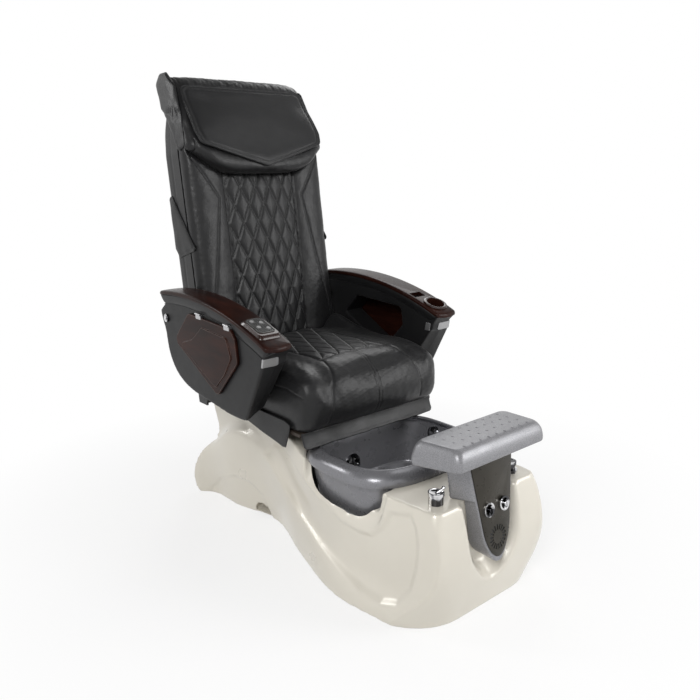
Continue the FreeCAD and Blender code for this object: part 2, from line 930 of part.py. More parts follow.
def diverterHandle():
    """A dished cap with a short lever, on a spindle in the body."""
    at = Vector(-d.fitting_x, d.fitting_y, d.deck_top + d.diverter_height)
    cap = rod(d.fitting_radius + 2, at + Vector(0, 0, d.running_gap), Vector(0, 0, 8))
    dish = Part.makeSphere(60, at + Vector(0, 0, 8 + d.running_gap + 57.5))
    spindle = rod(d.stem_radius - 1, at - Vector(0, 0, 19), Vector(0, 0, 22))
    lever = rod(3, at + Vector(0, 0, 6), Vector(d.fitting_radius + 9, 0, 5))
    knob = Part.makeSphere(5, at + Vector(d.fitting_radius + 9, 0, 11))
    return joined([cap.cut(dish), spindle, lever, knob])


feature("diverter_handle", diverterHandle())


def sprayCollar():
    at = Vector(d.fitting_x, d.fitting_y, d.deck_top)
    ring = rod(d.fitting_radius + 2, at, Vector(0, 0, 9))
    sleeve = rod(d.spray_radius - 3, at - Vector(0, 0, 26), Vector(0, 0, 27))
    upper = rod(d.spray_radius + 0.3, at + Vector(0, 0, 3), Vector(0, 0, 20))
    lower = rod(d.spray_radius - 5.5 + 0.3, at - Vector(0, 0, 40), Vector(0, 0, 60))
    return without(joined([ring, sleeve]), [upper, lower])


feature("spray_collar", sprayCollar())


def sprayHead():
    """The hand spray stands in its collar and pulls straight out."""
    at = Vector(d.fitting_x, d.fitting_y, d.deck_top + 3.3)
    head = rod(d.spray_radius, at, Vector(0, 0, d.spray_height - 4))
    crown = rod(d.spray_radius + 3, at + Vector(0, 0, d.spray_height - 12), Vector(0, 0, 12))
    shank = rod(d.spray_radius - 5.5, at - Vector(0, 0, 24), Vector(0, 0, 26))
    face = rod(d.spray_radius - 1, at + Vector(0, 0, d.spray_height - 1.5), Vector(0, 0, 5))
    return joined([head, crown, shank]).cut(face)


feature("spray_head", sprayHead())


# Seat slide

rails = []
for side in ("-", ""):
    rails.append(box(
        "rail", "Sizes.rail_width", "Sizes.rail_rear - Sizes.rail_front", "Sizes.rail_height",
        side + "Sizes.rail_half_gauge - Sizes.rail_width / 2", "Sizes.rail_front",
        "Sizes.seat_deck_top",
    ))
keep(fuse("seat_rails", rails), "seat_rails")

actuatorZ = d.seat_deck_top + d.rail_height / 2


def slideActuator():
    radius = d.rail_height / 2
    body = rod(radius, Vector(0, 210, actuatorZ), Vector(0, 200, 0))
    foot = block(-radius - 8, radius + 8, 230, 380, d.seat_deck_top, d.seat_deck_top + 6)
    bore = rod(d.rod_radius + d.shaft_fit, Vector(0, 236, actuatorZ), Vector(0, 200, 0))
    return joined([body, foot]).cut(bore)


feature("slide_actuator", slideActuator())
feature("slide_rod", rod(d.rod_radius, Vector(0, 300, actuatorZ), Vector(0, 226, 0)))

frameBottom = d.seat_deck_top + d.rail_height + d.slide_gap
frameTop = frameBottom + d.seat_tube


def seatFrame():
    """Welded tubes on the rails, with the plates that carry the backrest and the arms."""
    size = d.seat_tube
    front, rear = d.seat_frame_front, d.seat_frame_rear
    inner = d.bracket_inner
    thick = d.bracket_thickness
    gauge = d.rail_half_gauge
    bars = [
        block(-gauge - 12, -gauge + 12, front, rear, frameBottom, frameTop),
        block(gauge - 12, gauge + 12, front, rear, frameBottom, frameTop),
        block(-210, 210, front, front + size, frameBottom, frameTop),
        block(-inner, inner, rear - size, rear, frameBottom, frameTop),
        block(-10, 10, rear - size, rear - 6, actuatorZ - 9, frameBottom),
    ]
    pivot = Vector(inner, d.pivot_y, d.pivot_height)
    plate = outline([
        Vector(inner, rear - 44, frameBottom), Vector(inner, rear + 6, frameBottom),
        Vector(inner, pivot.y + 26, pivot.z - 30), Vector(inner, pivot.y + 26, pivot.z),
        Vector(inner, pivot.y + 14, pivot.z + 24), Vector(inner, pivot.y - 14, pivot.z + 24),
        Vector(inner, pivot.y - 26, pivot.z), Vector(inner, rear - 52, frameBottom + 120),
    ])
    plate = prism(plate, Vector(thick, 0, 0))
    holes = [
        rod(d.pin_radius, pivot - Vector(5, 0, 0), Vector(30, 0, 0)),
        rod(
            d.pin_radius + d.shaft_fit,
            Vector(inner - 5, d.recline_y, d.recline_height), Vector(30, 0, 0),
        ),
    ]
    plate = without(plate, holes)
    lug_hole = rod(d.rod_radius, Vector(0, rear - size - 5, actuatorZ), Vector(0, 15, 0))
    return joined(bars + [plate, mirrored(plate)]).cut(lug_hole)


feature("seat_frame", seatFrame())
keep(box(
    "seat_pan", "2 * Sizes.seat_half_width", "Sizes.seat_rear - Sizes.seat_front",
    "Sizes.pan_thickness", "-Sizes.seat_half_width", "Sizes.seat_front",
    "Sizes.seat_deck_top + Sizes.rail_height + Sizes.slide_gap + Sizes.seat_tube",
), "seat_pan")
panTop = frameTop + d.pan_thickness


def seatCushion():
    """Lofted across the seat: a front roll, a crowned middle and bolsters that rise to the rear."""
    half = d.seat_half_width
    # distance from the middle, how far the edge sinks, how far it is drawn in, rise at the rear
    ribs = [
        (half, 34, 36, 14), (half - 6, 13, 17, 34), (half - 24, 2, 4, 46), (half - 60, 2, 0, 22),
        (half - 84, 6, 2, 4), (half - 120, 0, 0, 0), (half - 200, -3, -1, 0),
    ]
    ribs = ribs + [(-x, sink, tuck, rise) for x, sink, tuck, rise in ribs[::-1]]
    wires = []
    for x, sink, tuck, rise in ribs:
        front, rear, top = d.seat_front, d.seat_rear, d.seat_top - sink
        low = panTop + sink * 0.3
        curve = [
            Vector(x, front + 2 + tuck, low), Vector(x, front - 40 + tuck, low + 4),
            Vector(x, front - 46 + tuck, 520), Vector(x, front - 36 + tuck, top - 14),
            Vector(x, front + 40 + tuck, top + 2), Vector(x, front + 110, top + 12),
            Vector(x, front + 230, top), Vector(x, rear - 110, top + rise * 0.3),
            Vector(x, rear - 40, top - 2 + rise), Vector(x, rear - tuck * 0.5, top - 6 + rise),
        ]
        foot = Vector(x, rear - tuck * 0.5, low)
        wires.append(Part.Wire([
            guided(curve), Part.makeLine(curve[-1], foot), Part.makeLine(foot, curve[0]),
        ]))
    under = block(-half - 9, half + 9, -100, 600, panTop - 20, panTop + d.slide_gap)
    return loft(wires).cut(under)


feature("seat_cushion", seatCushion())
keep(box(
    "seat_apron", "2 * Sizes.seat_half_width - 10", "Sizes.leather",
    "Sizes.seat_deck_top + Sizes.rail_height + Sizes.slide_gap + Sizes.seat_tube "
    "+ Sizes.pan_thickness - Sizes.apron_bottom",
    "-Sizes.seat_half_width + 5", "Sizes.seat_front - Sizes.leather", "Sizes.apron_bottom",
), "seat_apron")


def sideFlap():
    """Leather flap that hangs outside the seat frame, from a strip along the pan's edge."""
    x = d.bracket_inner
    points = [
        (74, 376), (58, 378), (38, 432), (34, 452), (60, 462), (330, 462), (404, 450), (250, 407),
    ]
    sheet_side = prism(
        outline([Vector(x, y, z) for y, z in points]), Vector(d.leather, 0, 0)
    )
    strip = block(d.seat_half_width, x + 1, 60, 300, panTop - d.leather, panTop)
    return joined([sheet_side, strip])


feature("side_flap_left", sideFlap())
feature("side_flap_right", mirrored(sideFlap()))


def reclineMotor():
    """A gear motor on the recline shaft, standing on the frame's rear bar."""
    at = Vector(-60, d.recline_y, d.recline_height)
    body = rod(26, at, Vector(120, 0, 0))
    foot = block(-40, 40, d.seat_frame_rear - d.seat_tube, d.seat_frame_rear,
                 frameTop, d.recline_height - 8)
    bore = rod(d.pin_radius + d.shaft_fit, at - Vector(5, 0, 0), Vector(130, 0, 0))
    return joined([body, foot]).cut(bore)


feature("recline_motor", reclineMotor())


def armPivots():
    """The pins that carry the arms, with their chrome caps."""
    at = Vector(d.bracket_inner, d.pivot_y, d.pivot_height)
    reach = d.arm_outer + 2 - d.bracket_inner
    pin = rod(d.pin_radius, at, Vector(reach, 0, 0))
    head = rod(13, at + Vector(reach - 2 + 0.4, 0, 0), Vector(5, 0, 0))
    tip = rod(7, at + Vector(reach + 3, 0, 0), Vector(3.5, 0, 0))
    one = joined([pin, head, tip])
    return Part.makeCompound([one, mirrored(one)])


feature("arm_pivots", armPivots())


# Backrest, drawn upright in its own leaning frame


def inBack(y, z):
    """A point of the chair's side view in the backrest's frame."""
    moved = backPlace.inverse().multVec(Vector(0, d.arm_front + y, z))
    return moved.y, moved.z


shaftY, shaftZ = inBack(d.recline_y, d.recline_height)
half = d.back_half_width
tubeFront = d.massage_depth - d.back_tube / 2
tubeRear = d.massage_depth + d.back_tube / 2


def backFrame():
    """Two uprights, two cross bars, and the horns that turn with the recline shaft."""
    foot = d.back_foot + 8
    head = d.massage_head + 50
    inner = half - d.shell_wall
    bars = []
    for side in (-1, 1):
        x = side * d.back_bar_x
        bars.append(block(x - 12, x + 12, tubeFront, tubeRear, foot, head))
        horn = outline([
            Vector(x - 3, y, z) for y, z in (
                (shaftY - 17, shaftZ - 6), (shaftY, shaftZ - 18), (shaftY + 17, shaftZ - 8),
                (tubeRear, -20), (tubeRear, 60), (tubeFront, 60), (tubeFront - 10, -30),
                (shaftY - 17, shaftZ + 12),
            )
        ])
        bars.append(prism(horn, Vector(6, 0, 0)))
    for z in (d.massage_foot, d.massage_head):
        bars.append(block(-inner, inner, tubeFront, tubeRear, z, z + d.back_tube))
    reach = d.bracket_inner + d.bracket_thickness
    bars.append(rod(d.pin_radius, Vector(-reach, shaftY, shaftZ), Vector(2 * reach, 0, 0)))
    mid = d.massage_depth
    low, high = d.massage_foot, d.massage_head + d.back_tube
    holes = [
        rod(d.massage_rail_radius, Vector(side * d.massage_rail_x, mid, low + 8),
            Vector(0, 0, high - low - 16))
        for side in (-1, 1)
    ]
    holes.append(rod(
        d.screw_radius + d.shaft_fit, Vector(0, mid, low - 5), Vector(0, 0, high - low - 5)
    ))
    return without(joined(bars), holes)


feature("back_frame", backFrame(), backPlace)


bendRadius = 28


def backShell():
    """The hollow rear cover, with slots for the frame's horns."""
    front = d.cushion_depth

    def cover(inset, open_front):
        points = [
            Vector(-half + inset, front - open_front, 0),
            Vector(-half + inset, d.shell_rear - bendRadius, 0),
            Vector(-half + bendRadius, d.shell_rear - inset, 0),
            Vector(half - bendRadius, d.shell_rear - inset, 0),
            Vector(half - inset, d.shell_rear - bendRadius, 0),
            Vector(half - inset, front - open_front, 0),
        ]
        bend = (bendRadius - inset) * (1 - math.sqrt(0.5))
        corner_y = d.shell_rear - inset - bend
        return Part.Wire([
            Part.makeLine(points[0], points[1]),
            Part.Arc(points[1], Vector(-half + inset + bend, corner_y, 0), points[2]).toShape(),
            Part.makeLine(points[2], points[3]),
            Part.Arc(points[3], Vector(half - inset - bend, corner_y, 0), points[4]).toShape(),
            Part.makeLine(points[4], points[5]),
            Part.makeLine(points[5], points[0]),
        ])

    wall = d.shell_wall
    outer = prism(cover(0, 0), Vector(0, 0, d.shell_top - d.back_foot))
    inner = prism(cover(wall, 5), Vector(0, 0, d.shell_top - d.back_foot - 2 * wall))
    inner.translate(Vector(0, 0, wall))
    shell = outer.cut(inner)
    shell.translate(Vector(0, 0, d.back_foot))
    slots = [
        block(side * d.back_bar_x - 4, side * d.back_bar_x + 4, front - 5, tubeRear + 2,
              d.back_foot - 5, d.back_foot + wall + 2)
        for side in (-1, 1)
    ]
    return without(shell, slots)


feature("back_shell", backShell(), backPlace)

pillowFootZ, pillowCornerZ, pillowStep = 557, 636, 12


def backCushion():
    """A crowned middle panel between side bolsters, lofted up the back."""
    # height share, how far the front is drawn back at the ends, how far the sides are drawn in
    levels = [(0, 22, 9), (0.012, 9, 3), (0.04, 1, 0), (0.96, 0, 0), (1, 8, 3)]
    wires = []
    tall = d.cushion_top - d.back_foot
    for share, sunk, tuck in levels:
        z = d.back_foot + tall * share
        right = [
            (0, -4), (60, -4), (118, -2), (140, 5), (150, 5), (166, -4), (215, -5),
            (half - 18, 0), (half - 3, 10), (half, 26), (half, d.cushion_depth),
        ]
        points = [Vector(max(x - tuck, 0) if x else 0, min(y + sunk, d.cushion_depth), z)
                  for x, y in right]
        points[-1] = Vector(half - tuck, d.cushion_depth, z)
        mirror = [Vector(-p.x, p.y, p.z) for p in points[:0:-1]]
        curve = mirror + points
        wires.append(Part.Wire([guided(curve), Part.makeLine(curve[-1], curve[0])]))
    cushion = loft(wires, True)
    return cushion.cut(pillowSpace(0, pillowStep))


def pillowSpace(lift, reach):
    """The space over the pillow's lower edge line, from in front of the back to this depth."""
    return prism(outline([
        Vector(-146, -200, pillowFootZ + lift), Vector(146, -200, pillowFootZ + lift),
        Vector(half + 5, -200, pillowCornerZ + lift), Vector(half + 5, -200, 950),
        Vector(-half - 5, -200, 950), Vector(-half - 5, -200, pillowCornerZ + lift),
    ]), Vector(0, 200 + reach, 0))


feature("back_cushion", backCushion(), backPlace)

flapThick = 8
flapFace = [(-66, 566), (-62, 600), (-46, 650), (-12, 735), (22, 800), (42, 852)]


def headPillow():
    """A bolster over the backrest's top, whose lower edge rises to both sides like wings."""
    gap = 0.3
    # distance from the middle, how far the lower edge rises, how much of the fullness is lost
    ribs = [
        (half, 84, 1), (half - 6, 79, 0.72), (half - 24, 70, 0.36), (half - 60, 44, 0.1),
        (150, 8, 0.03), (70, 0, 0),
    ]
    ribs = ribs + [(-x, rise, lost) for x, rise, lost in ribs[::-1]]
    wires = []
    for x, rise, lost in ribs:
        back = flapThick + gap

        def full(y, z):
            return Vector(x, pillowStep - gap - (pillowStep - gap - y) * (1 - lost * 0.85), z)

        curve = [
            Vector(x, pillowStep - gap, pillowFootZ + rise + 2),
            full(-30, pillowFootZ + rise), full(-62 + back, pillowFootZ + 8 + rise),
            full(-60 + back, 606 + rise * 0.7), full(-40 + back, 664 + rise * 0.3),
            full(-8 + back, 740), full(24 + back, 806),
            Vector(x, 46 + lost * 12, 858 - lost * 10), Vector(x, 84, 890 - lost * 12),
            Vector(x, 122, 892 - lost * 12), Vector(x, 132 - lost * 6, 870),
            Vector(x, 134 - lost * 8, d.shell_top + gap),
        ]
        for point in curve:
            point.x = x * (1 - 0.00034 * (point.z - pillowCornerZ))
        inside = [
            curve[-1], Vector(x, d.cushion_depth - gap, d.shell_top + gap),
            Vector(x, d.cushion_depth - gap, d.cushion_top + gap),
            Vector(x, pillowStep - gap, d.cushion_top + gap), curve[0],
        ]
        for point in inside[1:4]:
            point.x = x * (1 - 0.00034 * (point.z - pillowCornerZ))
        wires.append(Part.Wire([guided(curve)] + [
            Part.makeLine(inside[i], inside[i + 1]) for i in range(4)
        ]))
    pillow = loft(wires).common(pillowSpace(gap, 300))
    return pillow.cut(flapSpace(-90, flapThick + gap, 1))


def flapSpace(front_reach, back_reach, grow):
    """The flap's outline between two surfaces that lie this far behind its face."""
    front = [Vector(-300, y + front_reach, z) for y, z in flapFace]
    back = [Vector(-300, y + back_reach, z) for y, z in flapFace]
    band = prism(Part.Wire([
        smooth(front), Part.makeLine(front[-1], back[-1]),
        smooth(back[::-1]), Part.makeLine(back[0], front[0]),
    ]), Vector(600, 0, 0))
    g = grow
    shape = prism(rounded([
        Vector(-244 - g, -200, 846 + g), Vector(244 + g, -200, 846 + g),
        Vector(250 + g, -200, 690), Vector(240 + g, -200, 652 - g),
        Vector(0, -200, 577 - g), Vector(-240 - g, -200, 652 - g),
        Vector(-250 - g, -200, 690),
    ], 14), Vector(0, 400, 0))
    return band.common(shape)


feature("head_pillow", headPillow(), backPlace)
# the padded flap in front of the pillow, with its lower edge drawn to a point
feature("head_flap", flapSpace(0, flapThick, 0), backPlace)


def sidePocket():
    """A flat pouch on the side of the backrest, open along its slanted edge."""
    points = [(6, 318), (118, 300), (138, 330), (138, 500), (120, 508)]
    return prism(
        rounded([Vector(half, y, z) for y, z in points], 8), Vector(d.leather * 2, 0, 0)
    )


feature("side_pocket_left", sidePocket(), backPlace)
feature("side_pocket_right", mirrored(sidePocket()), backPlace)

# Massage unit

railLow, railHigh = d.massage_foot + 8, d.massage_head + d.back_tube - 8
massageRails = [
    rod(d.massage_rail_radius, Vector(side * d.massage_rail_x, d.massage_depth, railLow),
        Vector(0, 0, railHigh - railLow))
    for side in (-1, 1)
]
feature("massage_rails", Part.makeCompound(massageRails), backPlace)


def leadScrew():
    screw = rod(
        d.screw_radius, Vector(0, d.massage_depth, d.massage_foot - 18),
        Vector(0, 0, railHigh - d.massage_foot + 6),
    )
    return screw


def massageMotor():
    """The motor under the lower bar turns the lead screw."""
    top = d.massage_foot - 0.3
    body = rod(20, Vector(0, d.massage_depth, top - 66), Vector(0, 0, 66))
    bore = rod(
        d.screw_radius + d.shaft_fit, Vector(0, d.massage_depth, top - 24), Vector(0, 0, 30)
    )
    return body.cut(bore)


feature("lead_screw", leadScrew(), backPlace)
feature("massage_motor", massageMotor(), backPlace)

shaftRadius = 6


def massageCarriage():
    """Slides on the rails, driven by the screw, and carries the kneading shaft on two lugs."""
    low, tall = d.carriage_height, d.carriage_length
    mid = d.massage_depth
    reach = d.massage_rail_x + 18
    rear = mid + 12
    body = block(-reach, reach, mid - 10, rear, low, low + tall)
    centre = low + tall / 2
    lugs = []
    for side in (-1, 1):
        x = side * (d.massage_rail_x + 8)
        lugs.append(block(x - 6, x + 6, d.roller_depth - 11, mid - 9, centre - 12, centre + 12))
    holes = [
        rod(shaftRadius + d.shaft_fit, Vector(-reach, d.roller_depth, centre),
            Vector(2 * reach, 0, 0)),
        rod(d.screw_radius + d.shaft_fit, Vector(0, mid, low - 5), Vector(0, 0, tall + 10)),
    ]
    for side in (-1, 1):
        holes.append(rod(
            d.massage_rail_radius + d.shaft_fit,
            Vector(side * d.massage_rail_x, mid, low - 5), Vector(0, 0, tall + 10),
        ))
    return without(joined([body] + lugs), holes)


feature("massage_carriage", massageCarriage(), backPlace)


def kneadingShaft():
    """A shaft with four eccentric rollers."""
    centre = d.carriage_height + d.carriage_length / 2
    reach = d.massage_rail_x + 14
    parts = [rod(shaftRadius, Vector(-reach, d.roller_depth, centre), Vector(2 * reach, 0, 0))]
    for i, x in enumerate((-72, -34, 14, 52)):
        lift = 2 if i % 2 else -2
        parts.append(rod(
            d.roller_radius, Vector(x, d.roller_depth, centre + lift), Vector(20, 0, 0)
        ))
    return joined(parts)


feature("kneading_shaft", kneadingShaft(), backPlace)


# Arms, drawn at the sitter's left and mirrored to the right

capPoints = [(602, 788), (330, 793), (2, 710)]


def circleThrough(points):
    (ay, az), (by, bz), (cy, cz) = points
    determinant = 2 * (ay * (bz - cz) + by * (cz - az) + cy * (az - bz))
    a, b, c = ay * ay + az * az, by * by + bz * bz, cy * cy + cz * cz
    y = (a * (bz - cz) + b * (cz - az) + c * (az - bz)) / determinant
    z = (a * (cy - by) + b * (ay - cy) + c * (by - ay)) / determinant
    return y, z, math.hypot(ay - y, az - z)


arcY, arcZ, arcR = circleThrough(capPoints)


def capHeight(y, drop=0):
    """Height of the arm cap's top above this point, or of a line this far below it."""
    return arcZ + math.sqrt((arcR - drop) ** 2 - (y - arcY) ** 2)


def capSlope(y):
    """How steeply the cap falls to the front here, in degrees."""
    return math.degrees(math.asin((arcY - y) / arcR))


def capEdge(x, start, end, drop):
    middle = (start + end) / 2
    points = [Vector(x, y, capHeight(y, drop)) for y in (start, middle, end)]
    return Part.Arc(*points).toShape()


def capBand(x0, x1, start, end, drop0, drop1):
    """A slab that follows the cap's curve, between two depths below it."""
    top = capEdge(x0, start, end, drop0)
    low = capEdge(x0, start, end, drop1)
    rear = Part.makeLine(top.Vertexes[-1].Point, low.Vertexes[-1].Point)
    front = Part.makeLine(low.Vertexes[0].Point, top.Vertexes[0].Point)
    return prism(Part.Wire([top, rear, low, front]), Vector(x1 - x0, 0, 0))


railBottom = d.cap_thickness + d.rail_drop
armFrontTop, armRear = 10, 604
armFront = [(24, 646), (114, 467)]
armUnder = [
    (150, 463), (307, 474), (446, 494), (521, 531), (568, 604), (578, 664),
]
doorPoints = [(407, 743), (503, 642), (252, 512), (136, 637), (146, 706), (168, 732)]
panelPoints = [(470, 637), (386, 664), (326, 712), (190, 703), (166, 646), (204, 589), (258, 537)]


def armSide(x, inset):
    """The arm's outline below its padded rail, drawn in by this much underneath."""
    top = capEdge(x, armFrontTop, armRear, railBottom)
    high = Vector(x, *armFront[0]) + Vector(0, inset * 0.35, 0)
    low = Vector(x, *armFront[1]) + Vector(0, inset, inset)
    under = [low] + [Vector(x, y - inset * 0.6 * (y > 500), z + inset) for y, z in armUnder]
    under.append(top.Vertexes[-1].Point)
    return Part.Wire([
        Part.makeLine(top.Vertexes[0].Point, high), Part.makeLine(high, low),
        smooth(under), top,
    ])


def doorOutline(x, inset=0):
    wire = rounded([Vector(x, y, z) for y, z in doorPoints], 22)
    return wire.makeOffset2D(-inset) if inset else wire


def armShell():
    """The upholstered arm body with its padded rail and the pocket behind the door."""
    inner, outer = d.arm_inner, d.arm_outer
    body = loft([armSide(inner, 24), armSide(outer, 0)], True)
    rail = capBand(inner, outer, 0, armRear + 2, d.cap_thickness, railBottom + 2)
    pocket = prism(doorOutline(inner - 5, d.window_inset), Vector(outer - inner + 10, 0, 0))
    pin = Vector(inner - 5, d.pivot_y, d.pivot_height)
    bore = rod(d.pin_radius + d.shaft_fit, pin, Vector(outer - inner + 10, 0, 0))
    return without(body.fuse(rail), [pocket, bore])


cupZ = capHeight(d.cup_y)
cupWall = 3


def cupTool(radius, depth):
    """The space of the cup, square to the cap."""
    tool = rod(radius, Vector(0, 0, -depth), Vector(0, 0, depth + 40))
    tool.rotate(Vector(), Vector(1, 0, 0), capSlope(d.cup_y))
    tool.translate(Vector(d.cup_x, d.cup_y, cupZ))
    return tool


def slotTool(grow, depth):
    """The space of the phone slot, square to the cap."""
    wide, long = d.slot_width / 2 + grow, d.slot_length / 2 + grow
    tool = block(-wide, wide, -long, long, -depth, 40)
    tool.rotate(Vector(), Vector(1, 0, 0), capSlope(d.slot_y))
    tool.translate(Vector(d.slot_x, d.slot_y, capHeight(d.slot_y)))
    return tool


def armCap(left):
    """The glossy cap, with a rounded front and a soft outer corner at the rear."""
    inner, outer = d.cap_inner, d.cap_outer
    cap = capBand(inner, outer, -30, armRear + 10, 0, d.cap_thickness)
    middle = (inner + outer) / 2
    plan = Part.Wire([
        Part.Arc(
            Vector(inner, 2, 500), Vector(middle, -28, 500), Vector(outer, 2, 500)
        ).toShape(),
        Part.makeLine(Vector(outer, 2, 500), Vector(outer, armRear - 14, 500)),
        Part.Arc(
            Vector(outer, armRear - 14, 500), Vector(middle, armRear + 6, 500),
            Vector(inner, armRear - 14, 500),
        ).toShape(),
        Part.makeLine(Vector(inner, armRear - 14, 500), Vector(inner, 2, 500)),
    ])
    cap = cap.common(prism(plan, Vector(0, 0, 500)))
    if left:
        cap = without(cap, [cupTool(d.cup_radius, 40), slotTool(0, 60)])
    return cap


def armTrim():
    """The silver strip across the arm's front, under the rail."""
    inner, outer = d.arm_inner, d.arm_outer
    top = Vector(inner, armFrontTop, capHeight(armFrontTop, railBottom))
    low = Vector(inner, *armFront[0])
    along = (low - top).normalize()
    out = Vector(0, -along.z, along.y) * -1
    if out.y > 0:
        out = out * -1
    a = top + out * 0.1 + along * 3
    b = top + out * 0.1 + along * (low - top).Length
    face = outline([a, b, b + out * 4, a + out * 4])
    return prism(face, Vector(outer - inner, 0, 0))


def armDoor():
    """The gem-shaped door: a plate, a raised panel and two hinge tabs on the top edge."""
    x = d.arm_outer + d.door_gap
    plate = prism(doorOutline(x), Vector(d.door_thickness, 0, 0))
    face = x + d.door_thickness
    panel = prism(
        rounded([Vector(face, y, z) for y, z in panelPoints], 12), Vector(d.panel_rise, 0, 0)
    )
    tabs = []
    for y in (188, 345):
        z = 733 + (y - 168) * 0.05
        tabs.append(block(x, face + 1, y - 14, y + 14, z - 8, z + 7))
        # the hinge's knuckle, round on the line that the door swings about
        tabs.append(rod(3, Vector(face + 1, y - 14, z + 6.3), Vector(0, 28, 1.4)))
    return joined([plate, panel] + tabs)


leftShell = armShell()
cupHole = cupTool(d.cup_radius, d.cup_depth)
slotHole = slotTool(0, 46)
leftBody = without(leftShell, [cupHole, slotHole])
feature("arm_shell_left", leftBody)
feature("arm_shell_right", mirrored(leftShell))
feature("arm_cap_left", armCap(True))
feature("arm_cap_right", mirrored(armCap(False)))
feature("arm_trim_left", armTrim())
feature("arm_trim_right", mirrored(armTrim()))
feature("door_left", armDoor())
feature("door_right", mirrored(armDoor()))


def cupHolder():
    """A cup liner with a raised rim on the cap."""
    radius, depth = d.cup_radius - 0.3, d.cup_depth - 0.3
    tube_part = rod(radius, Vector(0, 0, -depth), Vector(0, 0, depth + 2))
    rim = rod(d.cup_radius + 8, Vector(0, 0, 1), Vector(0, 0, 5))
    bore = rod(radius - cupWall, Vector(0, 0, -depth + cupWall), Vector(0, 0, depth + 20))
    cup = joined([tube_part, rim]).cut(bore)
    cup.rotate(Vector(), Vector(1, 0, 0), capSlope(d.cup_y))
    cup.translate(Vector(d.cup_x, d.cup_y, cupZ))
    return cup


feature("cup_holder", cupHolder())

# Keypad on the right arm's cap, in a frame square to the cap there

keypadTurn = FreeCAD.Rotation(Vector(1, 0, 0), capSlope(d.keypad_y))
keypadPlace = FreeCAD.Placement(
    Vector(-d.keypad_x, d.arm_front + d.keypad_y, capHeight(d.keypad_y)), keypadTurn
)
podBase = 0.3
keyLayout = [(-14, 24), (10, 12), (-12, -10), (13, -22)]
faceThick = 2


def keypadOutline(grow, z):
    wide, long = d.keypad_width / 2 + grow, d.keypad_length / 2 + grow
    return rounded([
        Vector(-wide, -long, z), Vector(wide, -long, z), Vector(wide, long, z),
        Vector(-wide, long, z),
    ], 12 + grow)


def keypadPod():
    """The raised block under the keypad, hollow below its keys."""
    pod = loft([keypadOutline(7, podBase), keypadOutline(2, podBase + d.pod_height)], True)
    wells = [
        rod(d.key_radius + 1, Vector(x, y, podBase + 3), Vector(0, 0, 20)) for x, y in keyLayout
    ]
    return without(pod, wells)


def keypadFace():
    top = podBase + d.pod_height
    face = prism(keypadOutline(0, top), Vector(0, 0, faceThick))
    holes = [
        rod(d.key_radius + 0.3, Vector(x, y, top - 1), Vector(0, 0, 10)) for x, y in keyLayout
    ]
    return without(face, holes)


def key(x, y):
    """A round key with a wider foot that stops it under the face."""
    top = podBase + d.pod_height
    stem = rod(d.key_radius, Vector(x, y, top - 2), Vector(0, 0, faceThick + d.key_rise + 2))
    foot = rod(d.key_radius + 0.7, Vector(x, y, top - 3.2), Vector(0, 0, 2.9))
    return joined([stem, foot])


feature("keypad_pod", keypadPod(), keypadPlace)
feature("keypad_face", keypadFace(), keypadPlace)
for name, (x, y) in zip(("power_key", "recline_key", "slide_key", "massage_key"), keyLayout):
    feature(name, key(x, y), keypadPlace)


# Check every piece and write it out

doc.recompute()
for obj in doc.Objects:
    if "Invalid" in obj.State or "Error" in obj.State:
        raise SystemExit("%s could not be built" % obj.Label)
os.makedirs("parts", exist_ok=True)
for obj in nodes:
    shape = obj.Shape
    if shape.isNull() or not shape.isValid() or not shape.Solids or shape.Volume <= 0:
        raise SystemExit("%s isn't sound" % obj.Label)
for obj in nodes:
    obj.Shape.exportStep("parts/%s.step" % obj.Label)
print("nodes", len(nodes))
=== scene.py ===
import json
import math

import bmesh
import bpy
import numpy as np
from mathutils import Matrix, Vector
from mathutils.bvhtree import BVHTree

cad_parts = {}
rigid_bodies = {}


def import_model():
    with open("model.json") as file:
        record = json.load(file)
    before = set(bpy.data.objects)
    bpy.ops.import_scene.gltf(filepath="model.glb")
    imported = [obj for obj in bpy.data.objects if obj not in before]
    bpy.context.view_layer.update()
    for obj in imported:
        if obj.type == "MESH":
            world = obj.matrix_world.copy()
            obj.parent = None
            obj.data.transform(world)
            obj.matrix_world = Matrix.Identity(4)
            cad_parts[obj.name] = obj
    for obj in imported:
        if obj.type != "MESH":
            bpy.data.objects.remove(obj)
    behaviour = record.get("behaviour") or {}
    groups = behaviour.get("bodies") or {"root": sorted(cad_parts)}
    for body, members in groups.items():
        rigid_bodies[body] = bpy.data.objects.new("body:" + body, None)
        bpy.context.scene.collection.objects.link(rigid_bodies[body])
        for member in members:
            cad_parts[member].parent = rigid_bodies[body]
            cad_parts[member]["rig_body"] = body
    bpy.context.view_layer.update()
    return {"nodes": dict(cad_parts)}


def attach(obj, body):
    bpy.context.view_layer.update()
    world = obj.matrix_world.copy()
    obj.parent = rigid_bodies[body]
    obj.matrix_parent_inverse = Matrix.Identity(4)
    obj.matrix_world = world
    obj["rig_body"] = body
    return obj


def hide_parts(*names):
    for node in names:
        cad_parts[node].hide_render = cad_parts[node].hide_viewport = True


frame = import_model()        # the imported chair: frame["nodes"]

nodes = frame["nodes"]
scene = bpy.context.scene
print("frame loaded,", len(nodes), "nodes")

# The chair's own measures are in mm: x to the sitter's left, y back from the arm fronts, z up.
chairPlace = {"armFront": -117.4, "backY": 485, "backZ": 601, "backLean": 8.5,
              "consoleY": -496, "consoleZ": 302, "consoleLean": 9}


def chair(x, y, z):
    # chair millimetres -> metres of the shared frame
    x, y, z = np.broadcast_arrays(x, y, z)
    return np.stack([x, y + chairPlace["armFront"], z], -1) * 0.001


